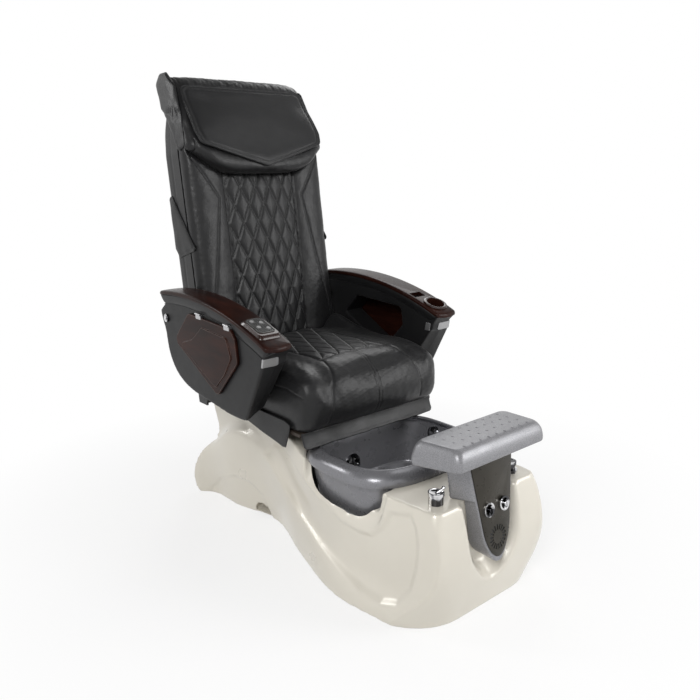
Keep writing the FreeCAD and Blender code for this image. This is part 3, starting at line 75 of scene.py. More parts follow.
def leaning(x, y, z, originY, originZ, degrees):
    # a frame that leans back: y along its depth, z up its face
    c, s = math.cos(math.radians(degrees)), math.sin(math.radians(degrees))
    x, y, z = np.broadcast_arrays(np.asarray(x, float), y, z)
    return chair(x, originY + y * c + z * s, originZ - y * s + z * c)


def onBack(x, y, z):
    return leaning(x, y, z, chairPlace["backY"], chairPlace["backZ"], chairPlace["backLean"])


def onConsole(x, y, z):
    return leaning(x, y, z, chairPlace["consoleY"], chairPlace["consoleZ"], chairPlace["consoleLean"])


def inChair(points):
    # metres -> chair millimetres
    p = np.asarray(points, float) * 1000
    return p[..., 0], p[..., 1] - chairPlace["armFront"], p[..., 2]


def inLeaning(points, place):
    # metres -> millimetres of the backrest's or the console's own frame
    x, y, z = inChair(points)
    y, z = y - chairPlace[place + "Y"], z - chairPlace[place + "Z"]
    lean = math.radians(chairPlace[place + "Lean"])
    c, s = math.cos(lean), math.sin(lean)
    return x, y * c - z * s, y * s + z * c


def inBack(points):
    return inLeaning(points, "back")


# ---- shapes as arrays

def eased(rows, steps):
    # a smooth run through a table's rows, on cubics that keep the slope between neighbours
    rows = np.asarray(rows, float)
    slopes = np.gradient(rows, axis=0)
    t = np.linspace(0, len(rows) - 1, steps)
    i = np.minimum(t.astype(int), len(rows) - 2)
    f = (t - i)[:, None]
    h = f * f * (3 - 2 * f)
    between = rows[i] * (1 - h) + rows[i + 1] * h
    return between + slopes[i] * f * (1 - f) ** 2 - slopes[i + 1] * f * f * (1 - f)


def smoothStep(value, low, high):
    # 0 below low, 1 above high, a soft s between
    t = np.clip((value - low) / (high - low), 0, 1)
    return t * t * (3 - 2 * t)


def roundedLoop(corners, radius, arcSteps=9, sideSteps=8):
    # a polygon with each corner turned on an arc; the straight runs are divided evenly
    corners = np.asarray(corners, float)
    before, after = np.roll(corners, 1, 0) - corners, np.roll(corners, -1, 0) - corners
    lengthIn, lengthOut = np.linalg.norm(before, axis=1), np.linalg.norm(after, axis=1)
    a, b = before / lengthIn[:, None], after / lengthOut[:, None]
    half = np.arccos(np.clip((a * b).sum(1), -1, 1)) / 2
    cut = np.minimum(radius / np.tan(half), 0.49 * np.minimum(lengthIn, lengthOut))
    bend = cut * np.tan(half)
    middle = corners + (a + b) / np.linalg.norm(a + b, axis=1)[:, None] * (bend / np.sin(half))[:, None]
    start, end = corners + a * cut[:, None] - middle, corners + b * cut[:, None] - middle
    t = np.linspace(0, 1, arcSteps)[None, :, None]
    sweep = (math.pi - 2 * half)[:, None, None]
    arc = (start[:, None] * np.sin((1 - t) * sweep) + end[:, None] * np.sin(t * sweep)) / np.sin(sweep)
    arc += middle[:, None]
    run = np.linspace(0, 1, sideSteps + 2)[1:-1][None, :, None]
    sides = arc[:, -1:] * (1 - run) + np.roll(arc[:, :1], -1, 0) * run
    return np.concatenate([arc, sides], 1).reshape(-1, 2)


def insetLoop(loop, distance):
    # the loop moved inwards along the average normal of its neighbours; the loop may run either way
    ahead, behind = np.roll(loop, -1, 0), np.roll(loop, 1, 0)
    area = 0.5 * (loop[:, 0] * ahead[:, 1] - ahead[:, 0] * loop[:, 1]).sum()
    along = ahead - behind
    normal = np.stack([-along[:, 1], along[:, 0]], -1) * math.copysign(1, area)
    return loop + normal / np.linalg.norm(normal, axis=1)[:, None] * distance


def lineDistance(u, v, path):
    # distance from each point (u, v) to a path of straight runs
    path = np.asarray(path, float)
    best = np.full(np.shape(u), 1e9)
    for (u0, v0), (u1, v1) in zip(path[:-1], path[1:]):
        du, dv = u1 - u0, v1 - v0
        t = np.clip(((u - u0) * du + (v - v0) * dv) / (du * du + dv * dv), 0, 1)
        best = np.minimum(best, np.hypot(u - u0 - t * du, v - v0 - t * dv))
    return best


def ripple(u, v, size, seed):
    # crossing waves of several lengths; the seed turns and shifts them
    total = np.zeros(np.shape(u))
    for i in range(5):
        turn, k = seed * 1.7 + i * 2.399, 2 * math.pi / size * (1 + 0.45 * i)
        total += np.sin((u * math.cos(turn) + v * math.sin(turn)) * k + seed * 3.1 + i * 1.3) / (1 + 0.6 * i)
    return total / 2.2


def circle(count):
    # angles once round
    return np.linspace(0, 2 * math.pi, count, endpoint=False)


def unit(vectors):
    return vectors / np.maximum(np.linalg.norm(vectors, axis=-1), 1e-12)[..., None]


def sided(side, name, node="", body=""):
    # one side's piece, CAD node and body by name; side is 1 on the sitter's left and -1 on the right
    word = "left" if side > 0 else "right"
    return name + word.title(), node + "_" + word, word + "_" + body


# ---- meshes

def meshFrom(points, faces, ends=()):
    # four-sided faces, and flat many-sided faces over the ends
    mesh = bpy.data.meshes.new("mesh")
    ends = [np.asarray(end) for end in ends]
    corners = np.concatenate([np.asarray(faces).ravel()] + ends).astype(np.int32)
    counts = np.array([4] * len(faces) + [len(end) for end in ends])
    mesh.vertices.add(len(points))
    mesh.vertices.foreach_set("co", np.asarray(points, np.float32).ravel())
    mesh.loops.add(len(corners))
    mesh.loops.foreach_set("vertex_index", corners)
    mesh.polygons.add(len(counts))
    mesh.polygons.foreach_set("loop_start", np.r_[0, np.cumsum(counts)[:-1]].astype(np.int32))
    mesh.update(calc_edges=True)
    return mesh


def gridFaces(rows, columns, closed):
    i = np.arange(rows - 1)[:, None] * columns
    j = np.arange(columns if closed else columns - 1)[None, :]
    k = (j + 1) % columns
    return np.stack([i + j, i + k, i + columns + k, i + columns + j], -1).reshape(-1, 4)


def reworked(mesh, work):
    bm = bmesh.new()
    bm.from_mesh(mesh)
    work(bm)
    bm.to_mesh(mesh)
    bm.free()
    return mesh


def outward(mesh, merge=1e-6):
    # poles and seams closed, faces turned outwards
    def work(bm):
        bmesh.ops.remove_doubles(bm, verts=bm.verts, dist=merge)
        bmesh.ops.dissolve_degenerate(bm, edges=bm.edges, dist=1e-7)
        bmesh.ops.recalc_face_normals(bm, faces=bm.faces)
    return reworked(mesh, work)


def ringMesh(rings, startFlat=False, endFlat=False, closed=True):
    # rows of points joined into a skin, with flat faces over the first and last row if asked
    rings = np.asarray(rings, float)
    rows, columns = rings.shape[:2]
    ends = [np.arange(columns)[::-1]] if startFlat else []
    if endFlat:
        ends.append(np.arange(columns) + (rows - 1) * columns)
    return outward(meshFrom(rings.reshape(-1, 3), gridFaces(rows, columns, closed), ends))


def joinedMesh(meshes):
    bm = bmesh.new()
    for mesh in meshes:
        bm.from_mesh(mesh)
    joined = bpy.data.meshes.new("joined")
    bm.to_mesh(joined)
    bm.free()
    return joined


def cadMesh(node):
    # a copy of a CAD node with its doubled corners merged
    mesh = nodes[node].data.copy()
    for extra in ("custom_normal", "sharp_face", "sharp_edge"):
        if extra in mesh.attributes:
            mesh.attributes.remove(mesh.attributes[extra])
    return reworked(mesh, lambda bm: bmesh.ops.remove_doubles(bm, verts=bm.verts, dist=2e-6))


def applied(mesh, add):
    # the mesh as it is after the modifiers that add puts on a helper object
    helper = bpy.data.objects.new("helper", mesh)
    scene.collection.objects.link(helper)
    add(helper)
    result = bpy.data.meshes.new_from_object(helper.evaluated_get(bpy.context.evaluated_depsgraph_get()))
    bpy.data.objects.remove(helper)
    return result


def squares(mesh):
    # vertex places and four-sided faces as arrays
    points = np.empty(len(mesh.vertices) * 3, np.float32)
    mesh.vertices.foreach_get("co", points)
    corners = np.empty(len(mesh.loops), np.int32)
    mesh.loops.foreach_get("vertex_index", corners)
    return points.reshape(-1, 3).astype(float), corners.reshape(-1, 4)


def remeshed(mesh, voxel):
    # an even skin of squares round everything that the mesh closes off
    def add(helper):
        change = helper.modifiers.new("skin", "REMESH")
        change.mode, change.voxel_size = "VOXEL", voxel * 0.001
    return squares(applied(mesh, add))


def halved(points, faces):
    def add(helper):
        change = helper.modifiers.new("halve", "SUBSURF")
        change.levels = change.render_levels = 1
    return squares(applied(meshFrom(points, faces), add))


def openEdges(points, faces):
    # both ends of each edge that only one face uses
    a, b = faces.ravel(), np.roll(faces, -1, 1).ravel()
    key = np.minimum(a, b).astype(np.int64) * len(points) + np.maximum(a, b)
    values, counts = np.unique(key, return_counts=True)
    single = values[counts == 1]
    return single // len(points), single % len(points)


def rim(points, faces):
    # which points lie on an open edge
    found = np.zeros(len(points), bool)
    found[np.concatenate(openEdges(points, faces))] = True
    return found


def evened(points, a, b, share, rounds):
    # each point goes this share of the way to the middle of its neighbours, time after time
    both, other = np.r_[a, b], np.r_[b, a]
    count = np.maximum(np.bincount(both, minlength=len(points)), 1)
    points = points.copy()
    for _ in range(rounds):
        total = np.stack([np.bincount(both, points[other, i], len(points)) for i in range(3)], -1)
        points += share[:, None] * (total / count[:, None] - points)
    return points


def rimSmoothed(points, faces, rounds):
    # along the open edges only
    return evened(points, *openEdges(points, faces), 0.5 * rim(points, faces), rounds)


def relaxed(points, faces, rounds, share=0.5):
    # everywhere but at the open edges
    return evened(points, faces.ravel(), np.roll(faces, -1, 1).ravel(), share * ~rim(points, faces), rounds)


def kept(points, faces, keep):
    # only the chosen faces, with the points they use
    faces = faces[keep]
    used, flat = np.unique(faces, return_inverse=True)
    return points[used], flat.reshape(-1, 4)


def outermost(points, faces):
    # the connected skin that reaches furthest back; skins of closed hollows inside it go
    label = np.arange(len(points))
    while True:
        new = label.copy()
        np.minimum.at(new, faces.ravel(), np.repeat(label[faces].min(1), 4))
        new = new[new]
        if np.array_equal(new, label):
            break
        label = new
    return kept(points, faces, label[faces[:, 0]] == label[np.argmax(points[:, 1])])


def faceNormals(points, faces):
    # as long as twice each face's area
    return np.cross(points[faces[:, 2]] - points[faces[:, 0]], points[faces[:, 3]] - points[faces[:, 1]])


def pointNormals(points, faces):
    # the average of the faces round each point
    each = np.repeat(faceNormals(points, faces), 4, axis=0)
    total = np.stack([np.bincount(faces.ravel(), each[:, i], len(points)) for i in range(3)], -1)
    return unit(total)


def bored(mesh, tools):
    # the mesh with the closed tools cut out of it
    cutters = []
    for tool in tools:
        cutter = bpy.data.objects.new("cutter", tool)
        scene.collection.objects.link(cutter)
        cutters.append(cutter)

    def add(helper):
        for cutter in cutters:
            change = helper.modifiers.new("bore", "BOOLEAN")
            change.operation, change.solver, change.object = "DIFFERENCE", "EXACT", cutter
    result = applied(mesh, add)
    for cutter in cutters:
        bpy.data.objects.remove(cutter)
    return result


def along(path, normals, radius, around=8, closed=False):
    # a tube round a path; its section turns with the normals
    path, normals = np.asarray(path, float), np.asarray(normals, float)
    tangent = unit(np.roll(path, -1, 0) - np.roll(path, 1, 0) if closed else np.gradient(path, axis=0))
    side = unit(np.cross(tangent, normals))
    up = np.cross(side, tangent)
    a = circle(around)[None, :, None]
    rings = path[:, None] + radius * 0.001 * (side[:, None] * np.cos(a) + up[:, None] * np.sin(a))
    if closed:
        return ringMesh(np.concatenate([rings, rings[:1]]))
    return ringMesh(rings, True, True)


def stitches(paths, length=5.0, gap=2.6, radius=0.55):
    # small six-sided threads in a row along each path of surface points and normals
    allPoints = []
    for path, normals in paths:
        path, normals = np.asarray(path, float), np.asarray(normals, float)
        if len(path) < 3:
            continue
        run = np.r_[0, np.cumsum(np.linalg.norm(np.diff(path, axis=0), axis=1))] * 1000
        if run[-1] < length * 2:
            continue
        at = np.arange(length, run[-1] - length / 2, length + gap)
        if not len(at):
            continue
        place, ahead, behind, up = (
            np.stack([np.interp(s, run, values[:, i]) for i in range(3)], -1)
            for s, values in ((at, path), (at + 1.5, path), (at - 1.5, path), (at, normals)))
        tangent = unit(ahead - behind)
        side = unit(np.cross(tangent, up))
        up = np.cross(side, tangent)
        # four six-sided rings: how far along, how wide and how deep each one is
        reach = (np.array([-0.5, -0.34, 0.34, 0.5]) * length * 0.001)[None, :, None, None]
        size = (np.array([0.35, 1, 1, 0.35]) * radius * 0.001)[None, :, None, None]
        sink = (np.array([-0.7, 0.25, 0.25, -0.7]) * radius * 0.001)[None, :, None, None]
        a = (np.arange(6) * math.pi / 3)[None, None, :, None]
        ring = (place[:, None, None] + tangent[:, None, None] * reach
                + up[:, None, None] * (sink + size * np.sin(a)) + side[:, None, None] * size * np.cos(a))
        allPoints.append(ring.reshape(-1, 24, 3))
    points = np.concatenate(allPoints)
    one = np.concatenate([gridFaces(4, 6, True),
                          [[3, 2, 1, 0], [5, 4, 3, 0], [18, 19, 20, 21], [18, 21, 22, 23]]])
    faces = (one[None] + np.arange(len(points))[:, None, None] * 24).reshape(-1, 4)
    return outward(meshFrom(points.reshape(-1, 3), faces), 1e-9)


# ---- finishes: procedural, on object coordinates in metres

finishes = {}


def wired(tree, node, inputs):
    # each input takes another node's output, or a constant
    for key, value in inputs.items():
        if isinstance(value, bpy.types.NodeSocket):
            tree.links.new(value, node.inputs[key])
        else:
            node.inputs[key].default_value = value
    return node


def addNode(tree, kind, inputs, operation=None):
    node = tree.nodes.new("ShaderNode" + kind)
    if operation:
        node.operation = operation
    return wired(tree, node, inputs)


def finishTree(name):
    material = bpy.data.materials.new(name)
    material.use_nodes = True
    tree = material.node_tree
    tree.nodes.clear()
    shader = addNode(tree, "BsdfPrincipled", {})
    addNode(tree, "OutputMaterial", {0: shader.outputs[0]})
    finishes[name] = material
    return tree, shader, addNode(tree, "TexCoord", {}).outputs["Object"]


def noise(tree, place, scale, detail=3.0, rough=0.5, stretch=None):
    if stretch is not None:
        place = addNode(tree, "Mapping", {"Scale": stretch, "Vector": place}).outputs["Vector"]
    inputs = {"Scale": scale, "Detail": detail, "Roughness": rough, "Vector": place}
    return addNode(tree, "TexNoise", inputs).outputs["Fac"]


def cells(tree, place, scale, feature="F1"):
    node = addNode(tree, "TexVoronoi", {"Scale": scale, "Vector": place})
    node.feature = feature
    return node.outputs["Distance"]


def tinted(tree, value, stops):
    ramp = addNode(tree, "ValToRGB", {"Fac": value})
    while len(ramp.color_ramp.elements) < len(stops):
        ramp.color_ramp.elements.new(0.5)
    for element, (at, colour) in zip(ramp.color_ramp.elements, stops):
        element.position, element.color = at, (*colour, 1)
    return ramp.outputs["Color"]


def ranged(tree, value, low, high, fromLow=0.25, fromHigh=0.75):
    inputs = {"From Min": fromLow, "From Max": fromHigh, "To Min": low, "To Max": high, "Value": value}
    return addNode(tree, "MapRange", inputs).outputs["Result"]


def bumped(tree, height, strength, distance, under=None):
    inputs = {"Strength": strength, "Distance": distance, "Height": height}
    if under is not None:
        inputs["Normal"] = under
    return addNode(tree, "Bump", inputs).outputs["Normal"]


def paintedFinish(name, dark, light, rough, metallic=0.0, coat=0.0, coatRough=0.08, patch=4.0, grain=900.0,
                  grainDepth=0.00003, wave=40.0, waveDepth=0.0, specular=0.5, flake=None, stretch=None):
    # a base colour that drifts between two tones, a roughness that drifts with it, and a fine surface grain
    tree, shader, place = finishTree(name)
    drift = noise(tree, place, flake, 2.0, 0.9) if flake else noise(tree, place, patch, 4.0, 0.55, stretch)
    normal = bumped(tree, noise(tree, place, grain, 2.0, 0.6), 0.35, grainDepth)
    if waveDepth:
        normal = bumped(tree, noise(tree, place, wave, 3.0, 0.5), 0.5, waveDepth, normal)
    wired(tree, shader, {
        "Base Color": tinted(tree, drift, [(0.3, dark), (0.7, light)]),
        "Roughness": ranged(tree, noise(tree, place, patch * 7, 3.0), *rough), "Normal": normal,
        "Metallic": metallic, "Coat Weight": coat, "Coat Roughness": coatRough,
        "Specular IOR Level": specular,
    })


finishLooks = {
    "pearl_shell": dict(dark=(0.61, 0.575, 0.50), light=(0.70, 0.665, 0.585), rough=(0.27, 0.36),
                        metallic=0.12, coat=0.35, coatRough=0.12, patch=1.6, grain=700, grainDepth=0.00002,
                        wave=16, waveDepth=0.0004),
    "basin_grey": dict(dark=(0.15, 0.15, 0.162), light=(0.27, 0.27, 0.285), rough=(0.24, 0.33), metallic=0.5,
                       flake=1400, grain=1500, grainDepth=0.00003),
    "footrest_grey": dict(dark=(0.13, 0.13, 0.14), light=(0.36, 0.36, 0.375), rough=(0.34, 0.44),
                          metallic=0.45, flake=620, grain=1100, grainDepth=0.00006),
    "plate_dark": dict(dark=(0.032, 0.029, 0.023), light=(0.055, 0.050, 0.041), rough=(0.25, 0.34),
                       metallic=0.5, specular=0.25, coat=0.05, patch=9, grain=1600, grainDepth=0.00002),
    "black_plastic": dict(dark=(0.012, 0.012, 0.013), light=(0.020, 0.020, 0.021), rough=(0.42, 0.55),
                          patch=12, grain=1500, grainDepth=0.00008),
    "grey_plastic": dict(dark=(0.20, 0.20, 0.20), light=(0.27, 0.27, 0.27), rough=(0.38, 0.5), patch=12,
                         grain=1500, grainDepth=0.00006),
    "arm_plastic": dict(dark=(0.0085, 0.0085, 0.009), light=(0.014, 0.014, 0.0145), rough=(0.36, 0.45),
                        patch=5, grain=1100, grainDepth=0.00008, specular=0.22),
    "rail_black": dict(dark=(0.006, 0.006, 0.0065), light=(0.010, 0.010, 0.0105), rough=(0.30, 0.40), patch=8,
                       grain=1100, grainDepth=0.00008, specular=0.3),
    "keypad_silver": dict(dark=(0.07, 0.07, 0.068), light=(0.15, 0.15, 0.146), rough=(0.3, 0.42),
                          metallic=0.6, flake=420, grain=1500, grainDepth=0.00004),
    "brown_plastic": dict(dark=(0.014, 0.0042, 0.0026), light=(0.022, 0.0068, 0.0042), rough=(0.22, 0.3),
                          coat=0.5, coatRough=0.04, patch=10, grain=900, grainDepth=0.00001, specular=0.25),
    # a lighter brown for the door's edge lines: a painted highlight
    "painted_highlight_line": dict(dark=(0.045, 0.019, 0.012), light=(0.085, 0.038, 0.024), rough=(0.25, 0.35),
                          patch=10, grain=900, grainDepth=0.00001),
    "silver_paint": dict(dark=(0.30, 0.30, 0.305), light=(0.44, 0.44, 0.445), rough=(0.28, 0.38),
                         metallic=0.85, flake=1800, grain=1500, grainDepth=0.00003),
    "black_paint": dict(dark=(0.010, 0.010, 0.011), light=(0.020, 0.020, 0.021), rough=(0.35, 0.5), patch=15,
                        grain=800, grainDepth=0.00006, metallic=0.2),
    "steel": dict(dark=(0.42, 0.42, 0.43), light=(0.56, 0.56, 0.57), rough=(0.22, 0.36), metallic=1.0,
                  patch=20, stretch=(1, 1, 40), grain=600, grainDepth=0.00002),
    "rubber": dict(dark=(0.010, 0.010, 0.010), light=(0.022, 0.022, 0.022), rough=(0.7, 0.85), patch=20,
                   grain=700, grainDepth=0.00015),
    # the seat pan's board is coloured almost black: painted shade for the shaded gap under the seat's front
    "board": dict(dark=(0.020, 0.014, 0.010), light=(0.040, 0.028, 0.020), rough=(0.55, 0.7), patch=18,
                  stretch=(1, 8, 8), grain=500, grainDepth=0.0001),
    "dark_thread": dict(dark=(0.010, 0.010, 0.010), light=(0.022, 0.022, 0.022), rough=(0.5, 0.65), patch=90,
                        grain=2600, grainDepth=0.0001),
    # real stitching on the back's quilting, coloured grey as a painted highlight along the puffed diamond edges
    "painted_highlight_thread": dict(dark=(0.05, 0.05, 0.05), light=(0.09, 0.09, 0.088), rough=(0.5, 0.65), patch=90,
                        grain=2600, grainDepth=0.0001),
    "pale_thread": dict(dark=(0.20, 0.20, 0.196), light=(0.30, 0.30, 0.294), rough=(0.5, 0.65), patch=90,
                        grain=2600, grainDepth=0.0001),
}
for finishName, look in finishLooks.items():
    paintedFinish(finishName, **look)


def leatherFinish(name, dark, light, rough, pebble):
    # pebbled cells with fine creases between them, over soft folds; the raised cells are a little shinier
    tree, shader, place = finishTree(name)
    grain = cells(tree, place, pebble)
    creases = cells(tree, place, pebble * 0.34, "DISTANCE_TO_EDGE")
    normal = bumped(tree, noise(tree, place, 30, 4.0, 0.5), 0.25, 0.00015)
    normal = bumped(tree, ranged(tree, creases, 0, 1, 0.0, 0.18), 0.3, 0.00012, normal)
    wired(tree, shader, {
        "Base Color": tinted(tree, noise(tree, place, 7, 5.0, 0.6), [(0.3, dark), (0.7, light)]),
        "Roughness": ranged(tree, noise(tree, place, 26, 3.0), *rough),
        "Normal": bumped(tree, grain, 0.45, 0.00016, normal),
        "Specular IOR Level": 0.3, "Sheen Weight": 0.03, "Sheen Roughness": 0.5,
    })


leatherFinish("black_leather", (0.0065, 0.0065, 0.007), (0.011, 0.011, 0.0115), (0.33, 0.42), 820)


def chromeFinish(name):
    # bright plated metal with painted reflections: dark and bright patches in its base colour, over a roughness and
    # a faint bump that vary
    tree, shader, place = finishTree(name)
    # painted reflections: a noise stretched along z picks dark and bright patches of base colour
    tone = noise(tree, place, 42, 1.0, 0.4, (1.0, 1.0, 0.7))
    stops = [(0.44, (0.07, 0.07, 0.075)), (0.53, (0.62, 0.62, 0.63)), (0.7, (0.76, 0.76, 0.77))]
    wired(tree, shader, {
        "Base Color": tinted(tree, tone, stops), "Metallic": 1.0,
        "Roughness": ranged(tree, noise(tree, place, 60, 4.0, 0.7), 0.05, 0.13),
        "Normal": bumped(tree, noise(tree, place, 240, 2.0), 0.2, 0.00002),
    })


def rosewoodFinish(name):
    # dark red-brown wood with long streaks and fine pores under a thick clear lacquer
    tree, shader, place = finishTree(name)
    streaks = noise(tree, place, 26, 6.0, 0.65, (1.0, 0.16, 1.0))
    pores = noise(tree, place, 420, 2.0, 0.6, (1.0, 0.08, 1.0))
    both = addNode(tree, "Math", {0: pores, 1: 0.25, 2: streaks}, "MULTIPLY_ADD").outputs[0]
    stops = [(0.42, (0.006, 0.0019, 0.0013)), (0.60, (0.015, 0.0043, 0.0027)),
             (0.80, (0.030, 0.0085, 0.0050))]
    wired(tree, shader, {
        "Base Color": tinted(tree, both, stops), "Roughness": ranged(tree, pores, 0.28, 0.42),
        "Normal": bumped(tree, noise(tree, place, 14, 2.0), 0.25, 0.0005),
        "Coat Weight": 0.15, "Coat Roughness": 0.03, "Coat IOR": 1.42, "Specular IOR Level": 0.08,
    })


chromeFinish("chrome")
rosewoodFinish("rosewood")
print("finishes made,", len(finishes))


def addPiece(name, mesh, body, slot, stands=(), crease=38, finish=None):
    # puts a finished mesh in the scene on its body, with its finish
    piece = bpy.data.objects.new(name, mesh)
    scene.collection.objects.link(piece)
    mesh.name = name
    mesh.materials.clear()
    mesh.materials.append(finishes[finish or slot])
    mesh.shade_smooth()
    mesh.set_sharp_from_angle(angle=math.radians(crease))
    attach(piece, body)
    if stands:
        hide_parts(*stands)
    return piece


def crisp(name, node, slot, bevel=0.6, crease=32, finish=None):
    # a CAD piece with flat areas joined and a small round on every edge
    mesh = reworked(cadMesh(node), lambda bm: bmesh.ops.dissolve_limit(
        bm, angle_limit=math.radians(0.5), verts=bm.verts, edges=bm.edges))
    piece = addPiece(name, mesh, nodes[node]["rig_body"], slot, [node], crease, finish)
    change = piece.modifiers.new("edges", "BEVEL")
    change.width, change.segments = bevel * 0.001, 2
    change.limit_method, change.angle_limit = "ANGLE", math.radians(crease)
    change.harden_normals = True
    return piece


def addThread(name, paths, body, finish="dark_thread", length=5, gap=2.4, radius=0.5):
    addPiece(name, stitches(paths, length, gap, radius), body, "black_leather", crease=80, finish=finish)


def treeOf(mesh):
    return BVHTree.FromPolygons([tuple(v.co) for v in mesh.vertices],
                                [tuple(p.vertices) for p in mesh.polygons])


intoBack = tuple(onBack(0, 1, 0) - onBack(0, 0, 0))


def laidOn(bvh, starts, direction, lift=0.0, reach=1.0):
    # where rays from the start points meet a surface, and the surface's normals there
    found, normals = [], []
    direction = Vector(direction)
    for start in starts:
        hit, normal, _, _ = bvh.ray_cast(Vector(start), direction, reach)
        if hit is not None:
            if normal.dot(direction) > 0:
                normal = -normal
            found.append(hit + normal * lift)
            normals.append(normal)
    return tuple(np.array([tuple(item) for item in items]).reshape(-1, 3) for items in (found, normals))


# ---- base moulding

baseLook = {
    "voxel": 4.5, "rounds": 3,
    # the pressed panel of each side wall as (y, z), up the ridge from the front and back along the shelf
    "panel": [(-385, 58), (-334, 42), (-258, 46), (-163, 66), (-56, 92), (74, 130), (176, 182), (237, 216),
              (300, 262), (262, 300), (200, 322), (120, 318), (60, 284), (15, 262), (-38, 238), (-137, 214),
              (-225, 208), (-262, 214), (-300, 250), (-330, 300), (-395, 318), (-418, 285), (-432, 240),
              (-433, 180), (-420, 110)],
    "panelDepth": 9, "panelEdge": 21,
    # the set-back foot of the rear scroll
    "foot": [(690, -30), (668, 0), (645, 22), (578, 82), (479, 126), (403, 121), (350, 84), (322, 0),
             (322, -30)],
    "footDepth": 5, "footEdge": 14,
    # the console's recess at its back plane and 88 mm in front of it: its half width at the top, its half
    # width where the round starts, that height and the foot's height
    "recess": ((106, 154), (80, 122), (215, 195), (127, 58)),
    # what backs the rear wall's fold, as (y, z), and the places (x, y, z) where the side walls are thin
    "fold": [(614, 211.5), (609.5, 216), (603.5, 220), (597.5, 224), (591, 228), (592.5, 232), (597, 243),
             (580, 243), (580, 206), (604, 206)],
    "thin": [(204, 444, 151), (255, -10, 35)],
    # the dark pocket in place of each arch through the skirt
    "pocket": {"front": 318, "rear": 422, "wall": 9, "deep": 46, "tall": 60},
}


def insideLoop(u, v, corners):
    # whether each point lies inside a polygon, by counting the sides to its right
    corners = np.asarray(corners, float)
    inside = np.zeros(np.shape(u), bool)
    for (u0, v0), (u1, v1) in zip(corners, np.roll(corners, -1, 0)):
        crosses = (v0 > v) != (v1 > v)
        inside ^= crosses & (u < u0 + (v - v0) * (u1 - u0) / (v1 - v0 if v1 != v0 else 1e-9))
    return inside


def pressed(u, v, corners, depth, edge):
    # a shallow panel with sloping sides: full depth at edge mm inside the outline
    closed = list(corners) + [corners[0]]
    gap = lineDistance(u, v, closed) * np.where(insideLoop(u, v, corners), 1, -1)
    return -depth * smoothStep(gap, -0.25 * edge, 0.75 * edge)


def superRing(shrink, z, power, grow=0.0, count=220):
    # a basin outline: |x/a|^p + |y/b|^p = 1, walked by angle
    c, s = np.cos(circle(count)), np.sin(circle(count))
    r = (np.abs(c) ** power + np.abs(s) ** power) ** (-1 / power)
    return chair(c * r * (232 - shrink + grow), s * r * (178 - shrink + grow) - 108, z)


def prismMesh(loop, low, high):
    # an upright prism over a loop of (x, y) in chair mm
    loop = np.asarray(loop, float)
    return ringMesh([chair(loop[:, 0], loop[:, 1], z) for z in (low, high)], True, True)


def hexMesh(corners):
    # eight corners, four below and four above
    sides = [[0, 1, 2, 3], [4, 5, 6, 7], [0, 1, 5, 4], [1, 2, 6, 5], [2, 3, 7, 6], [3, 0, 4, 7]]
    return outward(meshFrom(np.asarray(corners, float), sides))


def disc(x, y, radius, low, high):
    a = circle(40)
    return prismMesh(np.stack([x + radius * np.cos(a), y + radius * np.sin(a)], -1), low, high)


def recessHalf(y, z, look):
    # half width of a tapered U that widens from the console's back plane to the front
    t = np.clip((-452 - y) / 88, 0, 1.2)
    topHalf, lowHalf, lowZ, foot = (a + (b - a) * t for a, b in look)
    half = lowHalf + (topHalf - lowHalf) * (z - lowZ) / (360 - lowZ)
    below = np.clip((lowZ - z) / (lowZ - foot), 0, 1)
    return np.where(z > lowZ, half, half * (1 - below ** 1.8) ** 0.5)


def recessFillers(surface):
    # what lies between the CAD's recess and the narrower one, flush with the base's front
    cut = ((114, 165), (84, 172), (200, 165), (122, 30))
    fillers = []
    for side in (-1, 1):
        rings = []
        for z in np.linspace(66, 326, 80):
            at = min(float(recessHalf(-500.0, z, cut)) + 12, 165)
            hit = surface.ray_cast(Vector(chair(side * at, -900, z)), Vector((0, 1, 0)), 0.6)[0]
            face = hit.y * 1000 - chairPlace["armFront"] if hit is not None else -520
            y = np.linspace(face, -449, 14)
            inner = np.maximum(recessHalf(y, z, baseLook["recess"]), -1)
            inner = np.where(inner < 0.5, -1, inner)
            outer = np.maximum(recessHalf(y, z, cut) * 1.02 + 3, inner + 3)
            loop = np.concatenate([np.stack([inner, y], -1), np.stack([outer, y], -1)[::-1]])
            rings.append(chair(side * loop[:, 0], loop[:, 1], z))
        fillers.append(ringMesh(rings, True, True))
    return fillers


def onRims(points, faces):
    # the open edge round the basin's throat is set on its true curve
    x, y, z = inChair(points)
    edge = rim(points, faces)
    level = (np.abs(x / 235) ** 4.4 + np.abs((y + 108) / 181) ** 4.4) ** (1 / 4.4)
    throat = edge & (z > 195) & (np.abs(level - 1) < 0.08)
    level = np.where(throat, level, 1)
    return chair(x / level, (y + 108) / level - 108, z)


